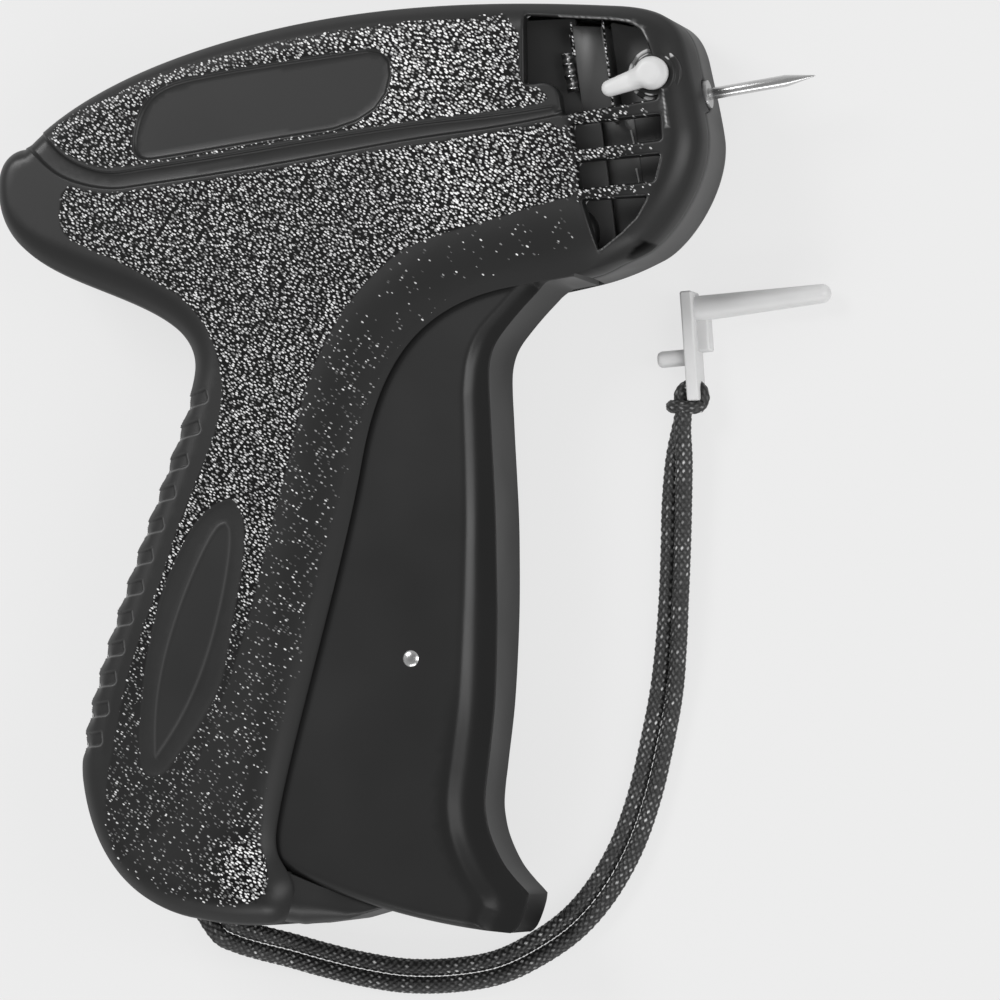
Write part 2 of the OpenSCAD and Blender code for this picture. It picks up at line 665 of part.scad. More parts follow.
// Drive lever: the roller works its lower slot, its fork drives the slider
lever_turn = lever_ratio * trigger_turn;
lever_h = needle_y - lever_at[1];
slider_stroke = 2 * lever_h * tan(lever_turn / 2);
slider_x = lever_at[0] - slider_stroke / 2;
fork_lean = lever_turn / 2;
arm_angle = atan2(cross_pin_at[1] - lever_at[1], cross_pin_at[0] - lever_at[0]);
lever_play = 1.3;
slot_play = roller_d / 2 + lever_play;
slot_near = 18.5;
slot_far = norm(cross_pin_at - lever_at) + 1.2;
fork_play = slider_pin_d / 2 + 0.5;
lever_boss_r = 5.5;
fork_r = 4.4;
module lever_bar(r0, r1, to, from = 0) {
  hull() {
    translate([from, 0]) circle(r = r0, $fn = 32);
    translate([to, 0]) circle(r = r1, $fn = 32);
  }
}
module drive_lever() {
  fork_end = lever_h / cos(fork_lean);
  color("#d8d4c4") translate([lever_at[0], lever_at[1], -lever_t / 2]) difference() {
    union() {
      linear_extrude(lever_t) rotate(90 + fork_lean) lever_bar(lever_boss_r, fork_r, fork_end + 0.5);
      linear_extrude(lever_t) rotate(arm_angle) lever_bar(lever_boss_r, slot_play + 2.4, slot_far);
    }
    translate([0, 0, -1]) cylinder(d = lever_pivot_d + 2 * turn_gap, h = lever_t + 2);
    rotate(90 + fork_lean) translate([lever_h - 2.5, -fork_play, -1]) cube([12, 2 * fork_play, lever_t + 2]);
    rotate(arm_angle) translate([slot_near, -slot_play, -1])
      cube([slot_far - slot_near, 2 * slot_play, lever_t + 2]);
    for (x = [slot_near, slot_far])
      rotate(arm_angle) translate([x, 0, -1]) cylinder(r = slot_play, h = lever_t + 2);
  }
}

module lever_plates() {
  color("#9a9a9a") for (s = [-1, 1]) mirror([0, 0, s < 0 ? 1 : 0])
    translate([0, 0, plate_z]) difference() {
      linear_extrude(plate_t) hull() {
        for (p = plate_places) translate(p) circle(r = 3.4, $fn = 32);
        translate(lever_at) circle(r = lever_boss_r - 0.5, $fn = 32);
      }
      for (p = plate_places)
        translate([p[0], p[1], -1]) cylinder(d = plate_peg_d + 2 * seat_gap, h = plate_t + 2);
      translate([lever_at[0], lever_at[1], -1]) cylinder(d = lever_pivot_d + 2 * seat_gap, h = plate_t + 2);
    }
}

module lever_pivot_pin() {
  reach = plate_z + plate_t + 0.6;
  color("#a8a8a8") translate([lever_at[0], lever_at[1], -reach]) cylinder(d = lever_pivot_d, h = 2 * reach);
}

// Slider and what it pushes
slider_front = slider_x + slider_len / 2;
slider_half = inner_z - slip;
pocket_wall = slider_h / 6;
slot_half = lever_t / 2 + 2 * slip;
pocket_z = (slider_half + slot_half) / 2 - 0.3;
pocket_t = (slider_half - slot_half) * 0.43;
module slider() {
  color("#d8d4c4") difference() {
    translate([slider_x - slider_len / 2, needle_y - slider_h / 2, -slider_half])
      cube([slider_len, slider_h, 2 * slider_half]);
    translate([slider_x - slider_len, needle_y - slider_h, -slot_half])
      cube([slider_len * 1.72, slider_h * 2, 2 * slot_half]);
    for (s = [-1, 1])
      translate([slider_x - slider_len, needle_y - slider_h / 2 + pocket_wall, s * pocket_z - pocket_t / 2])
        cube([slider_len * 1.6, slider_h - 2 * pocket_wall, pocket_t]);
    translate([slider_x, needle_y, -case_t]) cylinder(d = slider_pin_d + 2 * seat_gap, h = 2 * case_t);
    translate([slider_x, needle_y, 0]) rotate([0, 90, 0]) cylinder(d = rod_d + 2 * seat_gap, h = slider_len);
  }
}
module slider_pin() {
  color("#a8a8a8") translate([slider_x, needle_y, 1 - slider_half])
    cylinder(d = slider_pin_d, h = 2 * slider_half - 2);
}
rod_foot = 3;
// At the end of its stroke the rod stops short of the needle's point
rod_short = 5.6;
rod_tip_rest = needle_tip - rod_short - slider_stroke;
module push_rod() {
  color("#c0c0c0") translate([slider_front - rod_foot, needle_y, 0])
    rotate([0, 90, 0]) cylinder(d = rod_d, h = rod_tip_rest - slider_front + rod_foot);
}
guide_x = -10.2;
guide_len = 4.2;
guide_half = 5 * slider_h / 12;
module rod_guide() {
  color("#444444") difference() {
    translate([guide_x, needle_y - guide_half, -inner_z]) cube([guide_len, 2 * guide_half, 2 * inner_z]);
    translate([guide_x - 1, needle_y, 0]) rotate([0, 90, 0])
      cylinder(d = rod_d + 2 * turn_gap, h = guide_len + 2);
  }
}

// Return spring: an open coil round the rod, between the slider and the guide
spring_from = slider_front + 0.2 + spring_wire / 2;
spring_to = guide_x - 0.2 - spring_wire / 2;
spring_steps = 8 * spring_turns;
spring_pitch = (spring_to - spring_from) / spring_turns;
function coil_at(i) =
  let (a = 45 * i) [
    spring_from + spring_pitch * i / 8, needle_y + spring_r * cos(a), spring_r * sin(a)
  ];
function coil_ring(i) =
  let (
    a = 45 * i,
    out = [0, cos(a), sin(a)],
    along = unit([spring_pitch / 360, -spring_r * sin(a) * PI / 180, spring_r * cos(a) * PI / 180]),
    up = cross(along, out)
  ) [for (k = [0:5]) coil_at(i) + spring_wire / 2 * (cos(60 * k) * out + sin(60 * k) * up)];
coil_gap = min([for (i = [0:8]) norm(coil_at(i + 8) - coil_at(i)) - spring_wire]);
echo(return_spring_least_gap = coil_gap);
module return_spring() {
  color("#b8b8b8") rings_solid([for (i = [spring_steps:-1:0]) coil_ring(i)]);
}

// Feed wheel and ratchet on one axle
feed_root = 1.5;
module toothed(r, depth, teeth, w) {
  linear_extrude(w) polygon([
    for (k = [0:teeth - 1]) each [
      r * [cos(360 * k / teeth), sin(360 * k / teeth)],
      r * [cos(360 * (k + 0.28) / teeth), sin(360 * (k + 0.28) / teeth)],
      (r - depth) * [cos(360 * (k + 0.42) / teeth), sin(360 * (k + 0.42) / teeth)],
      (r - depth) * [cos(360 * (k + 0.86) / teeth), sin(360 * (k + 0.86) / teeth)]
    ]
  ]);
}
module feed_bore() {
  translate([0, 0, -case_t]) cylinder(d = feed_axle_d + 2 * turn_gap, h = 2 * case_t);
}
module feed_wheel() {
  color("#e4e0d0") translate([0, feed_y, 0]) difference() {
    translate([0, 0, -feed_w / 2]) toothed(feed_r, feed_root, feed_teeth, feed_w);
    feed_bore();
  }
}
ratchet_z = pawl_z - 0.6;
module feed_ratchet() {
  color("#b0b0b0") translate([0, feed_y, 0]) difference() {
    translate([0, 0, ratchet_z]) toothed(ratchet_r, 1, feed_teeth, pawl_t + 1.2);
    feed_bore();
  }
}
module feed_axle() {
  reach = inner_z + pin_depth - slip;
  color("#a8a8a8") translate([0, feed_y, -reach]) cylinder(d = feed_axle_d, h = 2 * reach);
}
// Leaf spring on the rod guide that keeps the ratchet from running back
module ratchet_spring() {
  foot = needle_y - guide_half;
  color("#c8c8c8") translate([0, 0, ratchet_z]) linear_extrude(pawl_t) polygon([
    [guide_x + 1, foot], [guide_x + 1, foot - 6], [-ratchet_r - 0.8, feed_y - 3.5],
    [-ratchet_r - 0.4, feed_y - 3.2], [guide_x + 1.6, foot - 5.6], [guide_x + 1.6, foot]
  ]);
}

// Guide plates for the clip of fasteners, seen through the window
guide_rear = [4.6, 9.8];
guide_lip_t = 0.7;
guide_front = [7.2, 13];
guide_top = 7;
guide_base = 2.4;
guide_back = -3.5;
guide_foot = -4;
module feed_guide() {
  tall = case_top;
  color("#505050") difference() {
    intersection() {
      union() {
        translate([guide_back, trigger_boss_r + 1.6, -inner_z])
          cube([guide_front[1] - guide_back, tall, guide_base]);
        translate([guide_rear[0], window_foot - 0.6, -inner_z])
          cube([guide_rear[1] - guide_rear[0], tall, inner_z + guide_top]);
        translate([guide_front[0], guide_foot, -inner_z])
          cube([guide_front[1] - guide_front[0], needle_y - guide_foot - 2, inner_z + guide_top - 1]);
        translate([guide_rear[1], window_foot - 2, -inner_z])
          cube([guide_lip_t, tall, inner_z + guide_top + 1]);
      }
      translate([0, 0, -case_t]) linear_extrude(2 * case_t) polygon(inset(case_outline, edge_wall + slip));
    }
    translate([0, 0, -case_t]) cylinder(r = trigger_boss_r + 2 * slip, h = 2 * case_t);
    translate([-1, needle_y, 0]) rotate([0, 90, 0]) cylinder(d = rod_d + 2 * turn_gap, h = 20);
    translate([0, feed_y, -case_t]) cylinder(d = feed_axle_d + 2 * seat_gap, h = case_t);
    translate([0, feed_y, slip - inner_z + guide_base]) cylinder(r = feed_r + slip, h = case_t);
  }
}

// Bowed steel leaf that presses the clip against its guide
leaf_t = 0.5;
leaf_w = 2.6;
leaf_foot_y = window_foot + 11.6;
module clip_spring() {
  line = [
    [guide_rear[0] - leaf_t / 2, leaf_foot_y], [guide_rear[0] - leaf_t / 2, leaf_foot_y - 1],
    for (i = [0:6]) [guide_rear[0] - 1 - 1.6 * sin(30 * i), leaf_foot_y - 1.8 - 0.8 * i],
    [guide_rear[0] - 0.5, leaf_foot_y - 7.2]
  ];
  n = len(line);
  side = [
    for (i = [0:n - 1])
      let (d = unit(line[min(i + 1, n - 1)] - line[max(i - 1, 0)])) [-d[1], d[0]] * leaf_t / 2
  ];
  color("#c8c8c8") translate([-seat_gap, 0, guide_top - leaf_w - 0.4]) linear_extrude(leaf_w) polygon(concat(
    [for (i = [0:n - 1]) line[i] + side[i]],
    [for (i = [n - 1:-1:0]) line[i] - side[i]]
  ));
}

// Needle, its hub, and what holds them in the nose
hub_back = nose_front - 10;
hub_half = 2.6;
needle_root = hub_back + 2;
hub_front = nose_front - edge_wall - 0.8;
point_len = 5;
slit_w = 0.7;
module needle() {
  bore = needle_d - 2 * needle_wall;
  color("#c8c8c8") translate([0, needle_y, 0]) rotate([0, 90, 0]) difference() {
    union() {
      translate([0, 0, needle_root]) cylinder(d = needle_d, h = needle_tip - needle_root - point_len);
      translate([0, 0, needle_tip - point_len]) cylinder(d1 = needle_d, d2 = 0.2, h = point_len);
    }
    translate([0, 0, needle_root - 1]) cylinder(d = bore, h = needle_tip - needle_root - point_len + 1.6);
    translate([-slit_w / 2, 0, nose_front + 0.6]) cube([slit_w, needle_d, needle_out - point_len - 0.2]);
  }
}
module needle_hub() {
  color("#8a8a8a") difference() {
    union() {
      translate([hub_back, needle_y - hub_half, -hub_half])
        cube([hub_front - hub_back, 2 * hub_half - 0.6, 2 * hub_half]);
      translate([hub_front - 1, needle_y, 0]) rotate([0, 90, 0])
        cylinder(d = collar_d - 0.6, h = nose_front - hub_front);
      translate([nose_front - 1, needle_y, 0]) rotate([0, 90, 0]) cylinder(d = collar_d, h = collar_t);
    }
    translate([needle_root, needle_y, 0]) rotate([0, 90, 0]) cylinder(d = needle_d + 2 * seat_gap, h = 30);
    translate([hub_back - 1, needle_y, 0]) rotate([0, 90, 0])
      cylinder(d = rod_d + 2 * turn_gap, h = 10);
  }
}
seat_top = hub_half - 0.6;
module needle_seat() {
  seat_front = nose_front - edge_wall - 0.6;
  color("#404040") difference() {
    translate([hub_back - 1, needle_y - 6, -inner_z])
      cube([seat_front - hub_back + 1, 9.4, inner_z + seat_top]);
    translate([hub_back - 0.1, needle_y - hub_half - 0.05, -hub_half - 0.05])
      cube([20, 2 * hub_half - 0.5, 20]);
    translate([hub_back - 2, needle_y, 0]) rotate([0, 90, 0]) cylinder(d = rod_d + 2 * turn_gap, h = 5);
  }
}
knife_t = 0.5;
module knife() {
  color("#d0d0d0") translate([hub_back - 1 - knife_t, needle_y + rod_d / 2 + 0.3, -2.5])
    cube([knife_t, 4, 4.4]);
}

// Lock lever with its shaft, cam and ring
lock_cam_z = hub_half + 0.6;
lock_cam_t = 1.6;
lock_cam_off = 0.7;
lock_cam_reach = lock_shaft_d / 2 + lock_cam_off + 1;
lock_ring_t = 1.2;
lock_ring_in = 0.4;
lock_foot = half_t + 0.4;
lock_aim = 190;
module lock_lever() {
  color("#e6e6e2") translate([lock_at[0], lock_at[1], 0]) {
    rotate_extrude() polygon([
      [0, lock_cam_z + lock_cam_t / 2], [lock_shaft_d / 2, lock_cam_z + lock_cam_t / 2],
      [lock_shaft_d / 2, lock_foot], [lock_d / 2, lock_foot], [lock_d / 2, lock_foot + lock_t * 0.6],
      [lock_d / 2 - 0.5, lock_foot + lock_t * 0.9], [lock_d / 2 - 1.2, lock_foot + lock_t],
      [0, lock_foot + lock_t]
    ]);
    rotate(lock_aim) translate([0, 0, lock_foot + 0.2]) hull() {
      cylinder(d = lock_d * 0.62, h = lock_t * 0.7, $fn = 32);
      translate([lock_arm, 0, 0]) cylinder(d = lock_d * 0.5, h = lock_t * 0.6, $fn = 32);
    }
  }
}
module lock_cam() {
  color("#b8b8b8") translate([lock_at[0], lock_at[1], lock_cam_z]) difference() {
    translate([0, -lock_cam_off, 0]) cylinder(r = lock_cam_reach - lock_cam_off, h = lock_cam_t);
    translate([0, 0, lock_cam_t / 2]) cylinder(d = lock_shaft_d + 2 * seat_gap, h = lock_cam_t);
  }
}
module lock_ring() {
  color("#707070") translate([lock_at[0], lock_at[1], half_t - lock_ring_t]) difference() {
    cylinder(r = lock_boss_r - lock_ring_in, h = lock_ring_t);
    translate([0, 0, -1]) cylinder(d = lock_shaft_d + 2 * turn_gap, h = 4);
  }
}

// Wrist strap: two strands side by side, from the bar in the sole to the hitch on the cap
table_z = -half_t;
strand_route = [
  [-79, -105.8, -1.6], [-77.2, -107.8, -4.6], [-74, -109.4, -8], [-69.6, -111.6, -10.8],
  [-64, -114.4, -11.6], [-57.5, -117.2, -11.6], [-50, -119, -11.6], [-42, -119.4, -11.6],
  [-34, -118.6, -11.6], [-27, -116.4, -11.6], [-20, -112.3, -11.6], [-14, -107, -11.6],
  [-9, -100.8, -11.6], [-5.2, -93.5, -11.6], [-2, -85.5, -11.6], [0.8, -77, -11.6],
  [2.8, -69, -11.6], [4.4, -61, -11.6], [5.8, -53, -11.3], [7.2, -45, -10.8],
  [8.8, -38.5, -10.4], [10.5, -34.4, -10.3], [12.1, -31.5, -10.2]
];
strand_gap = 0.1;
function path_dir(p, i) = unit(p[min(i + 1, len(p) - 1)] - p[max(i - 1, 0)]);
// Towards the hitch the pair rolls over, so that one strand lies partly on the other
roll_first = 16;
roll_end = 55;
function roll_at(i, n) = roll_end * smooth(max(0, (i - roll_first) / (n - 1 - roll_first)));
function beside(p, by) = [
  for (i = [0:len(p) - 1])
    let (a = roll_at(i, len(p)), across = unit(cross(path_dir(p, i), [0, 0, 1])))
      p[i] + by * (cos(a) * across + [0, 0, sin(a)])
];
function tube_ring(p, i) =
  let (d = path_dir(p, i), across = unit(cross(d, [0, 0, 1])), up = cross(across, d))
    [for (k = [0:7]) p[i] + cord_d / 2 * (cos(45 * k + 22.5) * across + sin(45 * k + 22.5) * up)];
module strand(path) {
  color("#2a2a2a") rings_solid([for (i = [0:len(path) - 1]) tube_ring(path, i)]);
}
// One strand takes the turn round the bar with it
bar_turn_r = strap_bar_d / 2 + cord_d / 2 + strand_gap;
bar_turn = [
  for (i = [0:6]) [strap_at[0] + bar_turn_r * cos(30 * i), strap_at[1] + bar_turn_r * sin(30 * i), 0]
];
module strap_strand_a() {
  start = bar_turn[0] - [0, 0.2, 0];
  strand(concat([start], bar_turn, beside(strand_route, (cord_d + strand_gap) / 2)));
}
module strap_strand_b() {
  start = bar_turn[0] - [0, 0.2 + strand_gap, 0];
  strand(concat([start, start - [0, 0.6, 0]], beside(strand_route, -(cord_d + strand_gap) / 2)));
}
module strap_bar() {
  color("#3a3a3a") translate([strap_at[0], strap_at[1], seat_gap - strap_bar_half])
    cylinder(d = strap_bar_d, h = 2 * strap_bar_half - 2 * seat_gap);
}

// Needle cap: a tapered finger on a tab that the strap is hitched round
cap_at = [14.4, -13.6];
cap_lean = -3.5;
tab_lean = 4;
tab_top = 3;
module needle_cap() {
  color("#e6e6e2") translate([cap_at[0], cap_at[1], table_z + tab_h / 2]) {
    rotate(cap_lean) rotate([0, 90, 0]) {
      cylinder(d1 = cap_root_d, d2 = cap_tip_d, h = cap_len - cap_tip_d / 2);
      translate([0, 0, cap_len - cap_tip_d / 2]) sphere(d = cap_tip_d);
    }
    cap_tab(0);
    rotate(-tab_lean) {
      translate([0, -7.2, -tab_h / 2]) cube([tab_t + 0.7, 7, tab_h * 0.6]);
      translate([-6.2, -8, 0]) rotate([0, 90, 0]) cylinder(d = 2.8, h = 6);
    }
  }
}
// Hitch: the strap's loop drawn tight round the tab
hitch_h = 2 * cord_d;
hitch_in = 0.8;
module cap_tab(grow) {
  rotate(-tab_lean) translate([-tab_t / 2 - grow, tab_top - tab_len - grow, -tab_h / 2 - grow])
    cube([tab_t + 2 * grow, tab_len + 2 * grow, tab_h + 2 * grow]);
}
module strap_hitch() {
  color("#2a2a2a") translate([cap_at[0], cap_at[1], table_z + tab_h / 2]) difference() {
    rotate(-tab_lean) translate([0, tab_top - tab_len + hitch_in, 0]) {
      translate([-tab_t / 2 - cord_d / 2, -hitch_h / 2, -tab_h / 2 + 0.2])
        cube([tab_t + cord_d, hitch_h - 0.2, tab_h - 0.3]);
      for (x = [-1, 1]) for (y = [-1, 1])
        translate([x * (tab_t + cord_d) / 2, y * 0.46 * cord_d, -tab_h / 2 + 0.1])
          cylinder(d = cord_d, h = tab_h - 0.2);
    }
    cap_tab(strand_gap);
  }
}

module place() {
  translate([-centre[0], -centre[1], half_t]) children();
}
place() {
  near_case();
  far_case();
  case_screws();
  trigger_pivot_pin();
  lever_plates();
  lever_pivot_pin();
  needle();
  needle_hub();
  needle_seat();
  knife();
  feed_guide();
  clip_spring();
  feed_axle();
  ratchet_spring();
  rod_guide();
  return_spring();
  lock_ring();
  strap_bar();
  strap_strand_a();
  strap_strand_b();
  strap_hitch();
  needle_cap();
  trigger();
  trigger_pin();
  trigger_roller();
  feed_pawl();
  drive_lever();
  slider();
  push_rod();
  slider_pin();
  feed_wheel();
  feed_ratchet();
  lock_lever();
  lock_cam();
}
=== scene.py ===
import json
import math

import bpy
import numpy as np
from mathutils import Matrix, Vector
from mathutils.geometry import delaunay_2d_cdt
from mathutils.kdtree import KDTree


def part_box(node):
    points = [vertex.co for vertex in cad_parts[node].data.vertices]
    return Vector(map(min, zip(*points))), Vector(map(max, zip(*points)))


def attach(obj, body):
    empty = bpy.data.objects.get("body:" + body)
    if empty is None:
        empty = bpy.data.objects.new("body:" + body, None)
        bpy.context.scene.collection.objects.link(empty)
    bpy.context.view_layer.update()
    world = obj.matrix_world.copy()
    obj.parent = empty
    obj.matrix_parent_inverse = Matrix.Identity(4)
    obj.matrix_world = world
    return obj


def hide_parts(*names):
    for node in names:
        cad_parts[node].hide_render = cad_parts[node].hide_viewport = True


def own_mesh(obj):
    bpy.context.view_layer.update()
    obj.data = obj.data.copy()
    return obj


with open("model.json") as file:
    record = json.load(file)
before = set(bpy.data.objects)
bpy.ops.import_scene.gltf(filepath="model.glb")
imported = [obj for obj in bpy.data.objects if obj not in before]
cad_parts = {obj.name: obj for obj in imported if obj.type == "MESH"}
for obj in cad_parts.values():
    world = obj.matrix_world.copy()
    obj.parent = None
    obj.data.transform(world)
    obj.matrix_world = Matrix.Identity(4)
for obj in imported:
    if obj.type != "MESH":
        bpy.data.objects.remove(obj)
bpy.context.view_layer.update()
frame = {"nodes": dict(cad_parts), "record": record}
nodes = frame["nodes"]
scene = bpy.context.scene

# Shapes are drawn in millimetres about the trigger pivot on the joint plane, as in the CAD.
PIVOT = np.array([27.5, 35.2158, 13.0])
TABLE, MM = -13.0, 0.001
UP = np.array([0, 0, 1.0])


def row(p):
    return (np.asarray(p, float) + PIVOT) * MM


# Camera
YAW, PITCH, ROLL = math.radians(15), math.radians(3), math.radians(8)
TARGET = np.array([-20.02, -41.405, 1.392])
DISTANCE, VIEW_WIDTH, SENSOR = 1000, 168, 36


def make_camera():
    right = np.array([math.cos(ROLL), -math.sin(ROLL), 0])
    up = np.array([math.sin(ROLL), math.cos(ROLL), 0])
    back = math.cos(PITCH) * (math.sin(YAW) * right + math.cos(YAW) * UP) - math.sin(PITCH) * up
    right = math.cos(YAW) * right - math.sin(YAW) * UP
    up = np.cross(back, right)
    data = bpy.data.cameras.new("camera")
    data.sensor_width = SENSOR
    data.lens = SENSOR * DISTANCE / VIEW_WIDTH
    data.clip_start = 0.05
    data.clip_end = 20
    camera = bpy.data.objects.new("camera", data)
    scene.collection.objects.link(camera)
    at = row(TARGET + DISTANCE * back)
    camera.matrix_world = Matrix([[right[j], up[j], back[j], at[j]] for j in range(3)] + [[0, 0, 0, 1]])
    scene.camera = camera


make_camera()
scene.view_settings.view_transform = "Standard"


# Materials
class Paint:
    """A material's or the world's node graph, built from its last node backwards."""

    def __init__(self, name, kind=bpy.data.materials, last="Principled BSDF"):
        self.mat = kind.new(name)
        self.mat.use_nodes = True
        self.tree = self.mat.node_tree
        self.shader = self.tree.nodes[last]

    def put(self, socket, value):
        if isinstance(value, bpy.types.NodeSocket):
            self.tree.links.new(value, socket)
        else:
            socket.default_value = value

    def add(self, kind, inputs, out=0, **settings):
        node = self.tree.nodes.new(kind)
        for key, value in settings.items():
            setattr(node, key, value)
        for key, value in inputs.items():
            self.put(node.inputs[key], value)
        return node.outputs[out]

    def set(self, **inputs):
        for key, value in inputs.items():
            self.put(self.shader.inputs[key.replace("_", " ")], value)
        return self.mat

    def spot(self):
        return self.add("ShaderNodeTexCoord", {}, "Object")

    def turned(self, angle):
        return self.add("ShaderNodeMapping", {"Vector": self.spot(), "Rotation": (0, 0, angle)})

    def stretched(self, by, at=None):
        return self.add("ShaderNodeMapping", {"Vector": at or self.spot(), "Scale": by})

    def noise(self, scale, detail=2.0, rough=0.5, at=None):
        inputs = {"Vector": at or self.spot(), "Scale": scale, "Detail": detail, "Roughness": rough}
        return self.add("ShaderNodeTexNoise", inputs)

    def math(self, op, a, b=0.0):
        return self.add("ShaderNodeMath", {0: a, 1: b}, operation=op)

    def times(self, a, b):
        return self.math("MULTIPLY", a, b)

    def span(self, value, a, b, c=0.0, d=1.0):
        return self.add("ShaderNodeMapRange", {0: value, 1: a, 2: b, 3: c, 4: d})

    def blend(self, share, a, b):
        return self.add("ShaderNodeMix", {0: share, 6: a, 7: b}, 2, data_type="RGBA")

    def bump(self, height, distance, strength=1.0, normal=None):
        inputs = {"Strength": strength, "Distance": distance, "Height": height}
        if normal is not None:
            inputs["Normal"] = normal
        return self.add("ShaderNodeBump", inputs)

    def share(self, name):
        return self.add("ShaderNodeAttribute", {}, "Fac", attribute_name=name)


def grey(v, warm=0.0):
    return (v * (1 + warm), v, v * (1 - warm), 1)


def case_paint():
    """Black plastic with a fine moulded grain, painted glints on its peaks, painted shade in its hollows, paler
    painted light where the mesh marks it, and duller walls; the mesh says where.
    """
    p = Paint("case_plastic")
    grain, dense, pale, worn, dull, deep = map(p.share, ("grain", "dense", "pale", "worn", "dull", "deep"))
    lengthened = p.stretched((0.52, 1.0, 1.0), p.turned(math.radians(42)))
    inputs = {"Vector": lengthened, "Scale": 2400, "Randomness": 0.95}
    apart = p.add("ShaderNodeTexVoronoi", inputs, "Distance", voronoi_dimensions="2D")
    chance = p.add("ShaderNodeSeparateColor", {0: apart.node.outputs["Color"]}, "Red")
    size, shine = chance.node.outputs["Green"], chance.node.outputs["Blue"]
    share = p.times(grain, p.span(dense, 0, 1, 0.3, 0.98))
    near = p.math("SUBTRACT", apart, p.times(size, 0.15))
    # Painted sheen makes the glint dots larger and brighter.
    near = p.math("SUBTRACT", near, p.times(worn, 0.08))
    near = p.math("ADD", near, p.span(dense, 0, 1, 0.05, 0))
    # Painted glints: bright dots on the grain's peaks, where light would glint; the peaks also shape the bump.
    peak = p.times(p.span(near, 0.1, 0.26, 1.0, 0.0), p.math("LESS_THAN", chance, share))
    shine = p.math("POWER", shine, p.span(dense, 0, 1, 2.8, 0.9))
    shine = p.times(p.span(shine, 0, 1, 0.06, 1.0), p.span(worn, 0, 1, 0.5, 1.3))
    # Painted light: where the mesh marks it, the plastic is blended towards pale grey, standing in for light on
    # edges and inside the case.
    tone = p.blend(pale, p.blend(dull, grey(0.011), grey(0.028)), grey(0.5))
    # Painted shade: the grained areas are darkened, as shade in the grain's hollows; the chin patch is darkened the
    # same way.
    pit = p.times(grain, p.span(dense, 0, 1, 0.1, 0.9))
    hollow = p.math("MAXIMUM", pit, deep)
    tone = p.blend(hollow, tone, grey(0.002))
    # Painted glints: the dots on the peaks are blended to near white.
    tone = p.blend(p.times(peak, shine), tone, grey(0.9))
    normal = p.bump(p.noise(5200), 0.01 * MM, 0.3)
    normal = p.bump(peak, 0.06 * MM, 0.8, normal)
    rough = p.span(p.noise(60), 0.3, 0.7, 0.38, 0.46)
    gloss = p.times(p.span(dull, 0, 1, 0.5, 0.06), p.span(hollow, 0, 1, 1.0, 0.3))
    return p.set(Base_Color=tone, Roughness=rough, Normal=normal, IOR=1.45, Specular_IOR_Level=gloss)


def trigger_paint():
    p = Paint("trigger_plastic")
    cloud, dull = p.noise(45), p.share("dull")
    return p.set(
        Base_Color=p.blend(dull, p.blend(cloud, grey(0.011), grey(0.014)), grey(0.013)),
        Roughness=p.span(cloud, 0.3, 0.7, 0.3, 0.38),
        Specular_IOR_Level=p.span(dull, 0, 1, 0.5, 0.05),
        Normal=p.bump(p.noise(3600), 0.008 * MM, 0.3),
        IOR=1.45,
    )


def plastic_paint(name, low, high, rough, warm=0.0, soft=0.0):
    p = Paint(name)
    cloud = p.noise(180, 3.0)
    return p.set(
        Base_Color=p.blend(cloud, grey(low, warm), grey(high, warm)),
        Roughness=p.span(cloud, 0.3, 0.7, rough - 0.05, rough + 0.05),
        Normal=p.bump(p.noise(1600), 0.02 * MM, 0.3),
        Subsurface_Weight=soft,
        Subsurface_Radius=(2 * MM,) * 3,
    )


def inner_paint():
    """Dark moulded plastic, painted much paler towards the bottom of the case, as painted light where little light
    reaches inside.
    """
    p = Paint("inner_plastic")
    height = p.add("ShaderNodeSeparateXYZ", {0: p.spot()}, 2)
    cloud = p.noise(180, 3.0)
    # Painted light: the lower inner parts are painted pale grey.
    low = p.blend(cloud, grey(0.26), grey(0.34))
    high = p.blend(cloud, grey(0.055), grey(0.07))
    return p.set(
        Base_Color=p.blend(p.span(height, 0.008, 0.017), low, high),
        Roughness=p.span(cloud, 0.3, 0.7, 0.38, 0.46),
        Normal=p.bump(p.noise(1600), 0.02 * MM, 0.3),
    )


def metal_paint(name, level, rough):
    p = Paint(name)
    lines = p.noise(900, 3.0, 0.6, p.stretched((0.12, 1.0, 1.0)))
    return p.set(
        Base_Color=p.blend(lines, grey(level * 0.8), grey(level)),
        Roughness=p.span(lines, 0.3, 0.7, rough - 0.06, rough + 0.06),
        Normal=p.bump(lines, 0.006 * MM, 0.3),
        Metallic=1.0,
    )


def cord_paint():
    """Braided yarn: the mesh holds the braid, painted shade in the gaps between yarns and painted glints on some
    yarn crowns; the shader its fibres.
    """
    p = Paint("cord")
    rise, fleck = p.share("rise"), p.share("fleck")
    shine = p.times(fleck, p.span(p.noise(260), 0.4, 0.62, 0.25, 1.0))
    # Painted shade: the yarns darken towards the gaps between them. Painted glints: pale flecks on the yarn crowns.
    tone = p.blend(shine, p.blend(rise, grey(0.004), grey(0.02)), grey(0.8))
    fibre = p.bump(p.noise(2600, 3.0, 0.6), 0.06 * MM, 0.6)
    return p.set(Base_Color=tone, Roughness=0.5, Normal=fibre, Sheen_Weight=0.05)


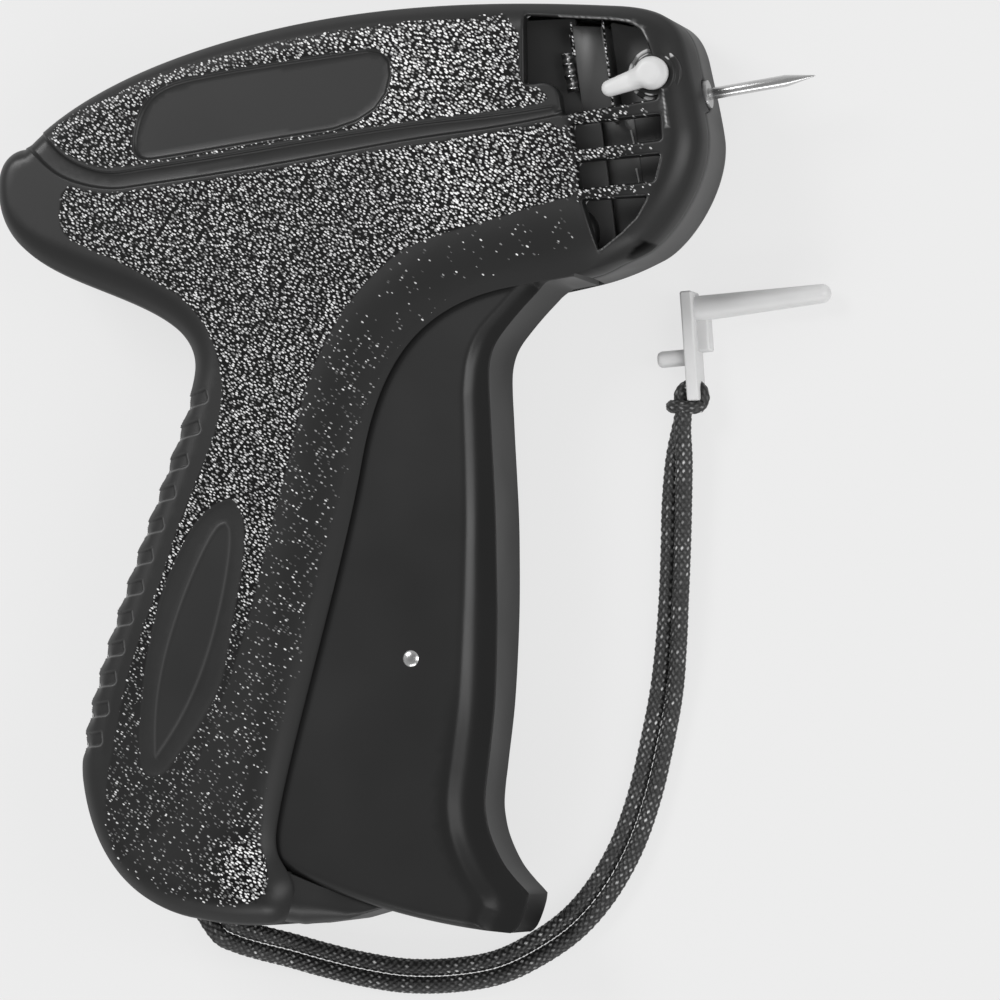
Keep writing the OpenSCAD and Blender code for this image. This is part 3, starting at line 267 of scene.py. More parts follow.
paints = {
    "case_plastic": case_paint(),
    "trigger_plastic": trigger_paint(),
    "white_plastic": plastic_paint("white_plastic", 0.6, 0.68, 0.45, 0.0, 0.1),
    "inner_plastic": inner_paint(),
    "acetal": plastic_paint("acetal", 0.3, 0.38, 0.4, 0.02),
    "steel": metal_paint("steel", 0.6, 0.25),
    "spring_steel": metal_paint("spring_steel", 0.6, 0.3),
    "needle_steel": metal_paint("needle_steel", 0.7, 0.25),
    "hub_metal": metal_paint("hub_metal", 0.5, 0.4),
    "cord": cord_paint(),
}
EDGE_R, SHARP, WELD = 0.25 * MM, math.radians(40), 0.002 * MM
slots = {s["node"]: s["material_slot"] for s in frame["record"]["subparts"]}
for name, obj in nodes.items():
    obj.data.materials.clear()
    obj.data.materials.append(paints[slots[name]])
    weld = obj.modifiers.new("weld", "WELD")
    weld.merge_threshold = WELD
    soft = obj.modifiers.new("edges", "BEVEL")
    soft.width = EDGE_R
    soft.segments = 2
    soft.limit_method = "ANGLE"
    soft.angle_limit = SHARP
    soft.harden_normals = True
    for poly in obj.data.polygons:
        poly.use_smooth = True


# Lines and areas in the side view
def cubic(c, t):
    c = np.asarray(c[:4], float)
    t = np.asarray(t, float)[:, None]
    return (1 - t) ** 3 * c[0] + 3 * (1 - t) ** 2 * t * c[1] + 3 * (1 - t) * t * t * c[2] + t**3 * c[3]


def steps(x, a, b):
    t = np.clip((x - a) / (b - a), 0, 1)
    return t * t * (3 - 2 * t)


def circle(a):
    return np.c_[np.cos(a), np.sin(a)]


def ring_of(sides):
    return circle(np.linspace(0, 2 * math.pi, sides, endpoint=False))


def unit(v):
    return v / np.linalg.norm(v, axis=-1, keepdims=True)


def lifted(p, z):
    return np.c_[p, np.broadcast_to(z, len(p))]


def along(p):
    """The length of a line up to each of its points."""
    return np.r_[0, np.cumsum(np.linalg.norm(np.diff(p, axis=0), axis=1))]


def sample(curves, step):
    """Evenly spaced points along a chain of cubic curves, with the form that is blended along each."""
    points, carried = [], []
    ticks = np.linspace(0, 1, 160)
    for c in curves:
        length = along(cubic(c, ticks))
        n = max(2, round(length[-1] / step))
        t = np.interp(np.arange(n) / n * length[-1], length, ticks)
        points.append(cubic(c, t))
        s = steps(t, 0, 1)
        carried.append(np.outer(1 - s, c[4]) + np.outer(s, c[5]))
    return np.vstack(points), np.vstack(carried)


def inward(p):
    d = unit(np.roll(p, -1, 0) - np.roll(p, 1, 0))
    return np.c_[-d[:, 1], d[:, 0]]


def anticlockwise(p):
    q = np.roll(p, -1, 0)
    return p if (p[:, 0] * q[:, 1] - p[:, 1] * q[:, 0]).sum() > 0 else p[::-1]


def even(p, step, closed=True):
    """The same line with evenly spaced points."""
    p = np.asarray(p, float)
    if closed:
        p = np.vstack([p, p[:1]])
    length = along(p)
    n = max(3, round(length[-1] / step))
    at = np.arange(n) / n * length[-1] if closed else np.linspace(0, length[-1], n)
    return np.stack([np.interp(at, length, p[:, k]) for k in range(p.shape[1])], 1)


def rounded(p, times=2, closed=True):
    """A line with its corners cut, again and again."""
    p = np.asarray(p, float)
    for _ in range(times):
        q = np.roll(p, -1, 0) if closed else p[1:]
        a = p if closed else p[:-1]
        cut = np.stack([0.75 * a + 0.25 * q, 0.25 * a + 0.75 * q], 1).reshape(-1, p.shape[1])
        p = cut if closed else np.vstack([p[:1], cut, p[-1:]])
    return p


def filleted(p, r):
    """A closed outline whose corners are rounded over the same short length."""
    p = np.asarray(p, float)
    out = []
    for a, b, c in zip(np.roll(p, 1, 0), p, np.roll(p, -1, 0)):
        back, on = a - b, c - b
        back = back * min(r / np.linalg.norm(back), 0.48)
        on = on * min(r / np.linalg.norm(on), 0.48)
        for t in np.linspace(0, 1, 6):
            out.append((1 - t) ** 2 * (b + back) + 2 * t * (1 - t) * b + t * t * (b + on))
    return np.array(out)


def inside(q, poly):
    x, y = q[:, 0][:, None], q[:, 1][:, None]
    a, b = poly, np.roll(poly, -1, 0)
    over = (a[:, 1] > y) != (b[:, 1] > y)
    with np.errstate(divide="ignore", invalid="ignore"):
        cross = (b[:, 0] - a[:, 0]) * (y - a[:, 1]) / (b[:, 1] - a[:, 1]) + a[:, 0]
    return (over & (x < cross)).sum(1) % 2 == 1


def nearest(points, q):
    """For each point of q, which of the points is nearest to it, and how far away."""
    tree = KDTree(len(points))
    for k, p in enumerate(points):
        tree.insert((p[0], p[1], 0), k)
    tree.balance()
    found = [tree.find((x, y, 0))[1:] for x, y in q]
    return np.array([k for k, _ in found]), np.array([d for _, d in found])


def depth_in(q, poly, reach=4.0):
    """Distance from the outline, positive inside it, and minus the reach well outside."""
    out = np.full(len(q), -reach)
    near = np.all((q > poly.min(0) - reach) & (q < poly.max(0) + reach), axis=1)
    c = q[near]
    if not len(c):
        return out
    at, _ = nearest(poly, c)
    least = np.full(len(c), 1e9)
    for k in (-1, 0):
        a, b = poly[(at + k) % len(poly)], poly[(at + k + 1) % len(poly)]
        d = b - a
        t = np.clip(((c - a) * d).sum(1) / np.maximum((d * d).sum(1), 1e-12), 0, 1)
        least = np.minimum(least, np.linalg.norm(a + t[:, None] * d - c, axis=1))
    sides = [inside(part, poly) for part in np.array_split(c, len(c) // 4000 + 1)]
    out[near] = least * np.where(np.concatenate(sides), 1, -1)
    return out


def triangles(loops, inner=np.zeros((0, 2))):
    """A flat mesh inside the first loop and outside the others; the loops' points come first."""
    edges, start = [], 0
    for loop in loops:
        n = len(loop)
        edges += [(start + i, start + (i + 1) % n) for i in range(n)]
        start += n
    flat = [Vector(p) for p in np.vstack([*loops, inner])]
    out = delaunay_2d_cdt(flat, edges, [], 0, 1e-5, False)
    verts = np.array([tuple(v) for v in out[0]])
    faces = np.array([f for f in out[2] if len(f) == 3])
    mid = verts[faces].mean(1)
    keep = depth_in(mid, loops[0]) > 0
    for loop in loops[1:]:
        keep &= depth_in(mid, loop) < 0
    return verts, faces[keep]


def spread(loops, sets):
    """Points of each set in turn that stand clear of the loops and of the points before them."""
    kept = np.vstack(loops)
    first = len(kept)
    for points, apart in sets:
        points = points[depth_in(points, loops[0]) > 0.03]
        for loop in loops[1:]:
            points = points[depth_in(points, loop) < -0.05]
        kept = np.vstack([kept, points[nearest(kept, points)[1] > apart]])
    return kept[first:]


def grid_over(outline, pitch):
    low, high = outline.min(0), outline.max(0)
    ys = np.arange(low[1], high[1], pitch * 0.866)
    xs = np.arange(low[0], high[0], pitch)
    return np.array([(x + k % 2 * pitch / 2, y) for k, y in enumerate(ys) for x in xs])


def offsets(outline, depths):
    """Lines inside an outline at each depth, without the stretches that fold back."""
    turn = inward(outline)
    lines = []
    for d in depths:
        by = np.broadcast_to(d, len(outline))
        line = outline + by[:, None] * turn
        lines.append(line[np.abs(depth_in(line, outline, 16.0) - by) < 0.06 + 0.02 * by])
    return lines


def around(line, r, sides, across, up):
    """Rings of points about a line, in the plane of two directions at each of its points."""
    a = np.linspace(0, 2 * math.pi, sides, endpoint=False)[None, :, None]
    return line[:, None] + r * (np.cos(a) * across[:, None] + np.sin(a) * up[:, None])


def filled(line, depths, apart, pitch, clear):
    """A flat mesh inside a line, with lines of points along its edge and a grid between them."""
    sets = [(ring, apart) for ring in offsets(line, depths)] + [(grid_over(line, pitch), clear)]
    return triangles([line], spread([line], sets))


class Skin:
    """A mesh collected from pieces that share their vertex lists."""

    def __init__(self):
        self.verts, self.faces, self.shares, self.count = [], [], {}, 0

    def points(self, verts, **shares):
        self.verts.append(np.asarray(verts, float))
        for key in shares:
            self.shares.setdefault(key, np.zeros(self.count))
        for key, before in self.shares.items():
            self.shares[key] = np.r_[before, np.broadcast_to(shares.get(key, 0.0), len(verts))]
        self.count += len(verts)
        return np.arange(self.count - len(verts), self.count)

    def strip(self, a, b, flip=False):
        """Faces between two closed lines of as many points."""
        a2, b2 = np.roll(a, -1), np.roll(b, -1)
        self.faces += [tuple(f) for f in np.stack([a, a2, b2, b] if flip else [a, b, b2, a2], 1)]

    def cover(self, points, faces, flip=False):
        self.faces += [tuple(points[f]) for f in (faces[:, ::-1] if flip else faces)]

    def tube(self, rings, **shares):
        """A closed tube from rings of points."""
        lines = [self.points(r, **{k: v[i] for k, v in shares.items()}) for i, r in enumerate(rings)]
        for a, b in zip(lines[:-1], lines[1:]):
            self.strip(a, b, flip=True)
        self.faces += [tuple(lines[0][::-1]), tuple(lines[-1])]

    def rod(self, line, r, sides=8, **shares):
        """A thin round rod along a line."""
        line = np.asarray(line, float)
        ahead = unit(np.gradient(line, axis=0))
        across = unit(np.cross(ahead, UP))
        rings = around(line, r, sides, across, np.cross(across, ahead))
        self.tube(rings, **{k: np.full(len(line), v) for k, v in shares.items()})

    def piece(self, name, body, slot, *replaced):
        mesh = bpy.data.meshes.new(name)
        faces = [tuple(int(i) for i in f) for f in self.faces]
        mesh.from_pydata(row(np.vstack(self.verts)).tolist(), [], faces)
        mesh.shade_smooth()
        for key, values in self.shares.items():
            layer = mesh.attributes.new(key, "FLOAT", "POINT")
            layer.data.foreach_set("value", np.asarray(values, np.float32))
        mesh.materials.append(paints[slot])
        mesh.update()
        obj = bpy.data.objects.new(name, mesh)
        scene.collection.objects.link(obj)
        if replaced:
            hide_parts(*replaced)
        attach(obj, body)
        return obj


def two_sided(skin, verts, faces, z, n, dull=0.0):
    """A form with the same side up and down; its first n points are its outline."""
    top = skin.points(np.c_[verts, z], dull=dull)
    skin.cover(top, faces)
    edge = top[:n]
    turn = inward(verts[:n])
    for by, share, level in ((0, 1, -0.12), (0.04, 1, -0.6), (0.04, 0, 0), (0.04, -1, 0.6), (0, -1, 0.12)):
        high = share * z[:n] + level
        below = skin.points(np.c_[verts[:n] + by * turn, high], dull=1.0)
        skin.strip(edge, below)
        edge = below
    under = skin.points(np.c_[verts, -z], dull=dull)
    skin.strip(edge, under[:n])
    skin.cover(under, faces, True)


# Wrist strap: two braided strands from the bar in the sole to the hitch on the cap
CORD_D = 3.0
STRAP_ROUTE = [
    (-79, -105.8, -1.6), (-77.2, -107.6, -4.6), (-74.4, -109.2, -7.8), (-70.4, -111, -10.4), (-65.4, -113.2, -11.3),
    (-58.6, -115.8, -11.45), (-51, -118, -11.45), (-43, -119, -11.45), (-35, -118.8, -11.45), (-28, -116.8, -11.45),
    (-21, -113.4, -11.45), (-15, -108.4, -11.45), (-9.6, -101.6, -11.45), (-5.3, -93.6, -11.45), (-2, -85.3, -11.45),
    (0.9, -77, -11.3), (3.0, -69, -10.8), (4.6, -61.5, -10.5), (6.1, -53.5, -10.4), (7.5, -45.5, -10.2),
    (8.9, -38.5, -10), (10.0, -33.6, -9.9), (11.1, -29.9, -9.8),
]
STRAP_BAR, BAR_TURN_R = np.array([-79.5, -101.7, 0]), 2.65
STRAND_APART, ROLL_FIRST, ROLL_MID, ROLL_END = 1.5, 14, math.radians(28), math.radians(80)
STRAP_LIFT, STRAND_STEP = 0.1, 0.17


def strand_line(side):
    """One strand beside the strap's route; towards the hitch the pair rolls over."""
    p = np.array(STRAP_ROUTE, float) + (0, 0, STRAP_LIFT)
    n = len(p)
    k = np.arange(n)
    across = unit(np.cross(unit(np.gradient(p, axis=0)), UP))
    roll = ROLL_MID * steps(k, ROLL_FIRST, ROLL_FIRST + 3) + (ROLL_END - ROLL_MID) * steps(k, n - 4, n - 1)
    p = p + side * STRAND_APART * (np.cos(roll)[:, None] * across + np.outer(np.sin(roll), UP))
    turn = np.radians(np.arange(0, 181, 30))
    round_bar = STRAP_BAR + BAR_TURN_R * np.c_[circle(turn), 0 * turn]
    if side > 0:
        return np.vstack([round_bar, p])
    return np.vstack([round_bar[:1] - (0, 0.3, 0), round_bar[:1] - (0, 0.9, 0), p])


def smooth_line(p, step):
    """A curve through the points, evenly stepped."""
    p = np.asarray(p, float)
    q = np.vstack([2 * p[0] - p[1], p, 2 * p[-1] - p[-2]])
    t = np.linspace(0, 1, 24, endpoint=False)[:, None]
    out = []
    for a, b, c, d in zip(q[:-3], q[1:-2], q[2:-1], q[3:]):
        out.append(0.5 * (2 * b + (c - a) * t + (2 * a - 5 * b + 4 * c - d) * t**2 + (3 * b - a - 3 * c + d) * t**3))
    return even(np.vstack(out + [p[-1:]]), step, False)


def braid(skin, line, d, yarns=8, lay=1.45, sides=56):
    """A braided tube along a line: two sets of yarns that pass over and under each other, some with a painted glint.
    """
    ahead = unit(np.gradient(line, axis=0))
    across = [unit(np.cross(ahead[0], UP))]
    for on in ahead[1:]:
        across.append(unit(across[-1] - on * (across[-1] @ on)))
    across = np.array(across)
    up = np.cross(across, ahead)
    s = along(line)
    turn = np.arange(sides) / sides
    a = turn[None] * yarns + s[:, None] / lay
    b = turn[None] * yarns - s[:, None] / lay
    upper = (np.floor(a) + np.floor(b)) % 2 == 0
    wave_a, wave_b = np.abs(np.sin(np.pi * a)), np.abs(np.sin(np.pi * b))
    ridge, crown = np.where(upper, wave_a, wave_b), np.where(upper, wave_b, wave_a)
    # The rise shapes the braid and also marks painted shade in the gaps between yarns.
    rise = ridge**0.6 * (0.5 + 0.5 * crown)
    luck = np.sin(12.9898 * np.floor(a) + 78.233 * np.floor(b)) * 43758.5453
    luck = luck - np.floor(luck)
    # Painted glints on the crowns of some yarn crossings.
    fleck = steps(ridge, 0.8, 0.95) * steps(crown, 0.5, 0.8) * np.where(upper, 1.0, 0.25) * (0.1 + 0.9 * luck**1.5)
    r = d / 2 * (0.8 + 0.2 * rise)
    tips = np.minimum(1, 0.55 + np.minimum(s, s[-1] - s) / (0.5 * d))
    r = r * np.sqrt(tips)[:, None]
    skin.tube(around(line, r[..., None], sides, across, up), rise=rise, fleck=fleck)


# Needle cap: finger, tab, strip and peg, all with soft edges
CAP_AT = np.array([14.4, -13.6, TABLE + 3])
FINGER_LEN, FINGER_LEAN, TAB_LEAN = 24.4, math.radians(-2.4), math.radians(-4)
FINGER_R, FINGER_TIP, CAP_EDGE = 2.22, 1.6, 0.4
PEG_AT, HITCH_IN = (0, -8, 0), (0.65, 0.35, 0)


def spun(angle):
    c, s = math.cos(angle), math.sin(angle)
    return np.array([[c, -s, 0], [s, c, 0], [0, 0, 1]])


def on_tab(q):
    return np.asarray(q, float) @ spun(TAB_LEAN).T + CAP_AT


def lathe(skin, profile, place, sides=48):
    """A turned form along X; the profile is (distance, radius)."""
    skin.tube([place(np.c_[np.full(sides, x), r * ring_of(sides)]) for x, r in profile])


def soft_box(skin, low, high, r, place):
    """A box with rounded edges, as rings from its bottom to its top."""
    quarter = np.linspace(0, math.pi / 2, 6)
    levels = [(low[2] + r - r * math.sin(t), r * math.cos(t)) for t in quarter[::-1]]
    levels += [(high[2] - r + r * math.sin(t), r * math.cos(t)) for t in quarter]
    rings = []
    for z, turn in levels:
        ring = []
        for k, (x, y) in enumerate(((1, 1), (0, 1), (0, 0), (1, 0))):
            c = (high[0] - r if x else low[0] + r, high[1] - r if y else low[1] + r)
            ring.append(c + max(turn, 0.01) * circle(quarter + k * math.pi / 2))
        rings.append(place(lifted(np.vstack(ring), z)))
    skin.tube(rings)


def make_cap():
    skin = Skin()
    tip = np.radians(np.linspace(0, 88, 9))
    end = FINGER_LEN - FINGER_TIP
    profile = [(-1.0, 2.0), (-0.6, 2.2), (0, FINGER_R)]
    profile += [(end * t, FINGER_R - 0.6 * t) for t in np.linspace(0.1, 1, 10)]
    profile += [(end + FINGER_TIP * math.sin(t), (FINGER_R - 0.6) * math.cos(t)) for t in tip[1:]]
    lathe(skin, profile, lambda q: q @ spun(FINGER_LEAN).T + CAP_AT)
    soft_box(skin, (-1.05, -15.6, -3), (1.05, 3, 3), CAP_EDGE, on_tab)
    soft_box(skin, (0, -7.2, -3), (3, -0.2, 0.6), CAP_EDGE, on_tab)
    peg = [(-6.2, 0.3), (-6.15, 0.8), (-5.95, 1.15), (-5.6, 1.36), (-5.2, 1.4), (-0.2, 1.4)]
    lathe(skin, peg, lambda q: on_tab(q + PEG_AT), 32)
    return skin.piece("cap_skin", "case", "white_plastic", "needle_cap")


def make_hitch():
    """The strap's loop through the tab, and the turn that draws it tight."""
    turns = np.radians(np.arange(240, -61, -20))
    loop = np.c_[1.9 * circle(turns) + (-0.1, -14.4), 0.3 * np.cos(2 * turns)]
    pull = [
        (1.5, -15.9, 0.2), (0.9, -16.3, 1.5), (-0.5, -16.3, 2.3), (-2.1, -16.1, 2.2), (-3.3, -15.8, 1.1),
        (-3.5, -15.7, -0.4), (-2.6, -15.8, -1.6), (-1.2, -15.9, -2),
    ]
    skin = Skin()
    for line, d in ((loop, 2.5), (pull, 2.3)):
        braid(skin, smooth_line(on_tab(np.array(line) - HITCH_IN), STRAND_STEP), d, 7, 1.3)
    return skin.piece("hitch_knot", "case", "cord", "strap_hitch")


cap = make_cap()
hitch = make_hitch()
for name, side, node in (("strand_over", 1, "strap_strand_a"), ("strand_under", -1, "strap_strand_b")):
    line = smooth_line(strand_line(side), STRAND_STEP)
    skin = Skin()
    braid(skin, line, CORD_D)
    skin.piece(name, "case", "cord", node)


# Case: each stretch of the outline has two handles, its end and the edge form there. An edge form is its width, its
# drop, and 1 where it is flat.
ROUND, FACET, CORNER, TAIL = (5, 5, 0), (11, 2.5, 1), (6, 2.6, 1), (3, 4, 0)
CASE_FROM = (0, -6.9)
CASE = [
    ((4, -6.6), (8.8, -5.9), (11.8, -4.8), ROUND),
    ((17.6, -2.5), (24.8, 6.5), (24.8, 14), ROUND),
    ((24.8, 18), (24.3, 23), (24, 27), ROUND),
    ((23.6, 32.5), (20.5, 34.8), (14, 36.4), ROUND),
    ((-2, 40), (-20, 43.2), (-38, 43.2), ROUND),
    ((-58, 43.2), (-80, 39.5), (-92.2, 30), TAIL),
    ((-96, 30.2), (-98.2, 27), (-98.2, 22), TAIL),
    ((-98.2, 15), (-94, 10.8), (-87.2, 6.6), ROUND),
    ((-78, 1), (-66.2, -4), (-67.8, -12), ROUND),
    ((-69.9, -22), (-97.4, -63.5), (-97, -78.5), ROUND),
    ((-97, -92.5), (-90, -101), (-80, -104), ROUND),
    ((-76, -105.5), (-72, -106.3), (-68, -106.7), ROUND),
    ((-63.5, -107.3), (-60.8, -102.6), (-62.8, -98.3), CORNER),
    ((-63.6, -96.4), (-64.4, -95.5), (-64.1, -93), CORNER),
    ((-63.6, -86.4), (-47, -51.9), (-40.5, -32.3), FACET),
    ((-35, -15.6), (-26.5, -7.2), (-9.5, -7.3), FACET),
    ((-6, -7.3), (-3, -7.1), (0, -6.9), FACET),
]
HALF, CEILING, EDGE_WALL, FINE = 13.0, 10.3, 1.2, 0.4
curves = []
for a, b, end, form in CASE:
    start, form_there = (curves[-1][3], curves[-1][5]) if curves else (CASE_FROM, FACET)
    curves.append((start, a, b, end, form_there, form))
outline, edge_form = sample(curves, FINE)
outline_in = inward(outline)

PANEL = [
    (-72.2, 28.4), (-69.9, 33.6), (-65.3, 36.4), (-55.1, 36.7), (-38.1, 36.3), (-24, 35.8), (-28.9, 23.4),
    (-51.2, 23.8), (-68.3, 23.8), (-71.2, 24.1), (-72.4, 25.7),
]
BAND_LOW = [
    (-92.6, 31.2), (-90.4, 28.8), (-88.1, 25.6), (-85.5, 23.3), (-81.3, 21.2), (-76.8, 19.9), (-72.3, 19.8),
    (-57.5, 19.4), (-40.4, 19.4), (-23.6, 19.6), (-8.7, 19), (3.4, 19.3),
]
BAND_HIGH = [
    (-89.6, 33.6), (-87.4, 31), (-85, 27.3), (-80.9, 24.4), (-76.9, 22.9), (-71.9, 22.9), (-57, 22.6), (-40, 22.6),
    (-23.2, 22.3), (-8.3, 21.3), (1.2, 21.2),
]
OVAL = [
    (-63.5, -34.7), (-68.6, -36.8), (-72.8, -41.5), (-77, -48.2), (-80.2, -55.2), (-83.4, -66), (-85.2, -75.9),
    (-84.4, -79.1), (-81.6, -79.5), (-78.9, -76.8), (-74.2, -72.2), (-69.2, -65.7), (-67, -59), (-65.1, -53),
    (-62.9, -46.9), (-61.7, -40.6), (-62, -37),
]
LENS_TIPS, LENS_HALF = np.array([(-64.8, -39), (-82.4, -76.3)]), 3.6
LOBE_AT, LOBE_R = np.array([-0.7, 22.3]), 3.1
WINDOW_CORNER = ((18.4, 29.2), (17.9, 31.4), (16.2, 32.9), (12.4, 34))
SLOTS = [
    [(3.6, 13.1), (18.5, 12.4), (18.9, 16.7), (3.6, 17.6)],
    [(3.6, 6.6), (16.4, 5.85), (18.1, 10.15), (3.6, 11.25)],
    [(5, -3.9), (7.45, -2.7), (9.75, -1.55), (12.5, 0.4), (14.4, 2.8), (14.9, 3.6), (3.7, 4.8)],
]
SCREWS, SCREW_R, SCREW_FLOOR = [(-87.2, 17), (-22, 35.2), (-84, -92.5), (-62.8, -11)], 2.8, 8.0
RECESS, OVAL_DEEP, BEAD_HIGH, BEAD_HALF, HOLE_ROUND, HOLE_DROP = 0.65, 0.04, 0.06, 0.2, 0.4, 0.35
MOUTH_CORNER, MOUTH_FOOT, STRAP_FOOT = (-62.8, -98.3), 9.8, 4.0
NEEDLE_Y, NEEDLE_HOLE_R, SEAM_RISE, FAR_PALE = 20.5, 2.65, 4.0, 0.12
# Grip notches: the stretch of the outline they are on, their shares of it, and how far in each goes
GRIP_BACK, NOTCH_TALL, NOTCH_DEEP, NOTCH_ROUND, NOTCH_EDGE = 9, 2.5, 0.5, 0.9, 0.28
NOTCHES = np.array([0.162, 0.243, 0.317, 0.381, 0.445, 0.506, 0.566, 0.625, 0.686, 0.749, 0.817, 0.892])
NOTCH_IN = [5.9, 6.3, 6.1, 5.7, 5.55, 5.5, 5.6, 5.4, 5.5, 5.4, 5.3, 4.9]
# Thin painted highlight lines where edges catch the light, with their half widths
SCUFFS = [
    ([(18.5, 29.2), (17.9, 31.4), (16.2, 32.9), (12.4, 34), (4, 35.9)], 0.13),
    ([(19.95, 20.6), (19.9, 18.2), (19.75, 14.7)], 0.16),
    ([(18, 9.9), (16.4, 6)], 0.1),
    ([(14.9, 3.5), (14.4, 2.7), (12.5, 0.3), (9.75, -1.65), (7.45, -2.8), (5, -4)], 0.1),
]
SCUFF_STEP = 0.15
# Painted shade: a dark patch under the chin, standing in for the shade of a recess there
CHIN_PATCH = even([(5.6, -7.6), (12.6, -3.2), (15.4, -4.6), (8.8, -8.8)], 0.3)

# Where the grain is: under the band, over the band, and the dense part of the first
GRAIN_LOW = [
    (-85.7, 22.4), (-81.3, 20.5), (-76.8, 19.2), (-57.5, 18.8), (-40.4, 18.8), (-8.7, 18.4), (2.9, 18.6), (2.9, 9),
    (2.3, 4.5), (3.2, -1.5), (-8, -3.6), (-20, -6.4), (-31.9, -13.5), (-40, -25.6), (-43.9, -34.7), (-51.2, -52.1),
    (-56.9, -66.5), (-66.7, -89.7), (-65.4, -100.9), (-69, -102.9), (-77.1, -102.1), (-83.5, -99.6), (-89.7, -95.2),
    (-92.4, -91.4), (-92.6, -85.3), (-91.5, -78.6), (-89.3, -72.8), (-86.6, -64.7), (-83, -56.8), (-77.3, -46.9),
    (-73.4, -38.8), (-68.7, -30.9), (-65.2, -25.2), (-62.5, -18.7), (-61.9, -14.3), (-63, -6.8), (-66.7, -0.5),
    (-70.7, 2.8), (-77.4, 7.7), (-81.9, 10.5), (-86.2, 13.3), (-87.2, 16.2),
]
GRAIN_HIGH = [
    (-87.6, 31.6), (-85, 28.2), (-80.9, 25.2), (-76.9, 23.6), (-57, 23.2), (-23.2, 22.9), (-8.3, 21.9), (0.6, 22),
    (0, 23.6), (-2, 24.8), (-4.2, 25.6), (-2.6, 37), (-12, 38.4), (-24, 39.6), (-38, 40), (-55, 39.5), (-70, 37.4),
    (-80, 34.6),
]
DENSE = [
    (4.5, 5.6), (-1.3, 5.4), (-10.5, 4.2), (-25.7, 2.5), (-31.6, -0.4), (-37.9, -5.3), (-41.8, -9.4), (-47.6, -18),
    (-49.9, -24.1), (-52.5, -30.7), (-57.2, -41.4), (-61.2, -51.4), (-63.9, -57.7), (-68, -66), (-74, -76),
    (-80, -88), (-130, -110), (-130, 70), (4.5, 70),
]
# Spots with painted sheen, where the grain's painted glints are brighter and larger: their middle, their reach and
# how dense they make the grain
WORN = [(-21, 33.5, 14, 0), (-14, 11, 9, 0), (-68.6, -97.5, 7, 1.3)]


def window_line():
    corner = cubic(WINDOW_CORNER, np.linspace(0, 1, 7))
    lobe = LOBE_AT + LOBE_R * circle(np.radians(np.linspace(100, 0, 9)))
    return np.vstack([
        [(2.4, 19.3), (18.8, 19.3), (19.4, 23.3)], corner, [(-1.8, 37.2), (-3.3, 25.6)], lobe,
    ])


def lens_line():
    """The pointed lens inside the thumb oval."""
    long = LENS_TIPS[1] - LENS_TIPS[0]
    across = np.array([-long[1], long[0]]) / np.linalg.norm(long)
    t = np.linspace(0, 1, 60)
    mid = LENS_TIPS[0] + np.outer(t, long)
    bow = np.outer(LENS_HALF * (4 * t * (1 - t)) ** (0.5 + 0.5 * t), across)
    return np.vstack([mid + bow, (mid - bow)[-2:0:-1]])


def edge_drop(q):
    """How far the shaped edge lies below the flat side at a point in the side view."""
    drop = np.zeros(len(q))
    w, h, flat = edge_form.T
    rim = np.flatnonzero(depth_in(q, outline) < w.max())
    for part in np.array_split(rim, len(rim) // 3000 + 1):
        d = np.sqrt(((q[part, None] - outline) ** 2).sum(2))
        u = np.clip(1 - d / w, 0, 1)
        drop[part] = (h * ((1 - flat) * (1 - np.sqrt(1 - u * u)) + flat * u * u)).max(1)
    return drop


def wall_foot(near):
    """How far down the edge wall comes: to the joint, or to the mouth, the strap's slot or the needle."""
    x, y = outline[:, 0], outline[:, 1]
    foot = np.zeros(len(outline))
    k = np.arange(len(outline))
    low = int(np.argmin(np.linalg.norm(outline - MOUTH_CORNER, axis=1)))
    foot[(k >= low) | ((k < 60) & (x < 0.4) & (y < 0))] = MOUTH_FOOT
    foot[(y < -95) & (x > -83.7) & (x < -75.3)] = STRAP_FOOT
    nose = (x > 20) & (np.abs(y - NEEDLE_Y) < NEEDLE_HOLE_R)
    foot[nose] = np.sqrt(NEEDLE_HOLE_R**2 - (y[nose] - NEEDLE_Y) ** 2)
    chin = (k < len(outline) / 2) & (y < 17.8) & (x > 0.4)
    seam = SEAM_RISE * steps(x, 2, 9) * (1 - steps(y, 16.6, 17.8)) * chin
    return foot + seam if near else np.where(chin, foot - seam, foot)


def notch_frames():
    """Each grip notch on the back: its lower corner, the ways down and in, and how far in it goes."""
    at = cubic(curves[GRIP_BACK], NOTCHES)
    lean = np.radians(np.linspace(7.5, -2, len(at)))
    across = circle(lean)
    return list(zip(at, np.c_[across[:, 1], -across[:, 0]], across, NOTCH_IN))


def scuffs(q):
    """Thin painted highlight lines along the window's upper edge and beside the ladder, broken up along their
    length.
    """
    out = np.zeros(len(q))
    for line, wide in SCUFFS:
        _, d = nearest(even(line, SCUFF_STEP, False), q)
        broken = np.clip(0.6 + 0.5 * np.sin(7 * q[:, 0] + 5 * q[:, 1]) * np.sin(3 * q[:, 1]), 0.1, 1)
        out = np.maximum(out, np.exp(-((d / wide) ** 2)) * broken)
    return out


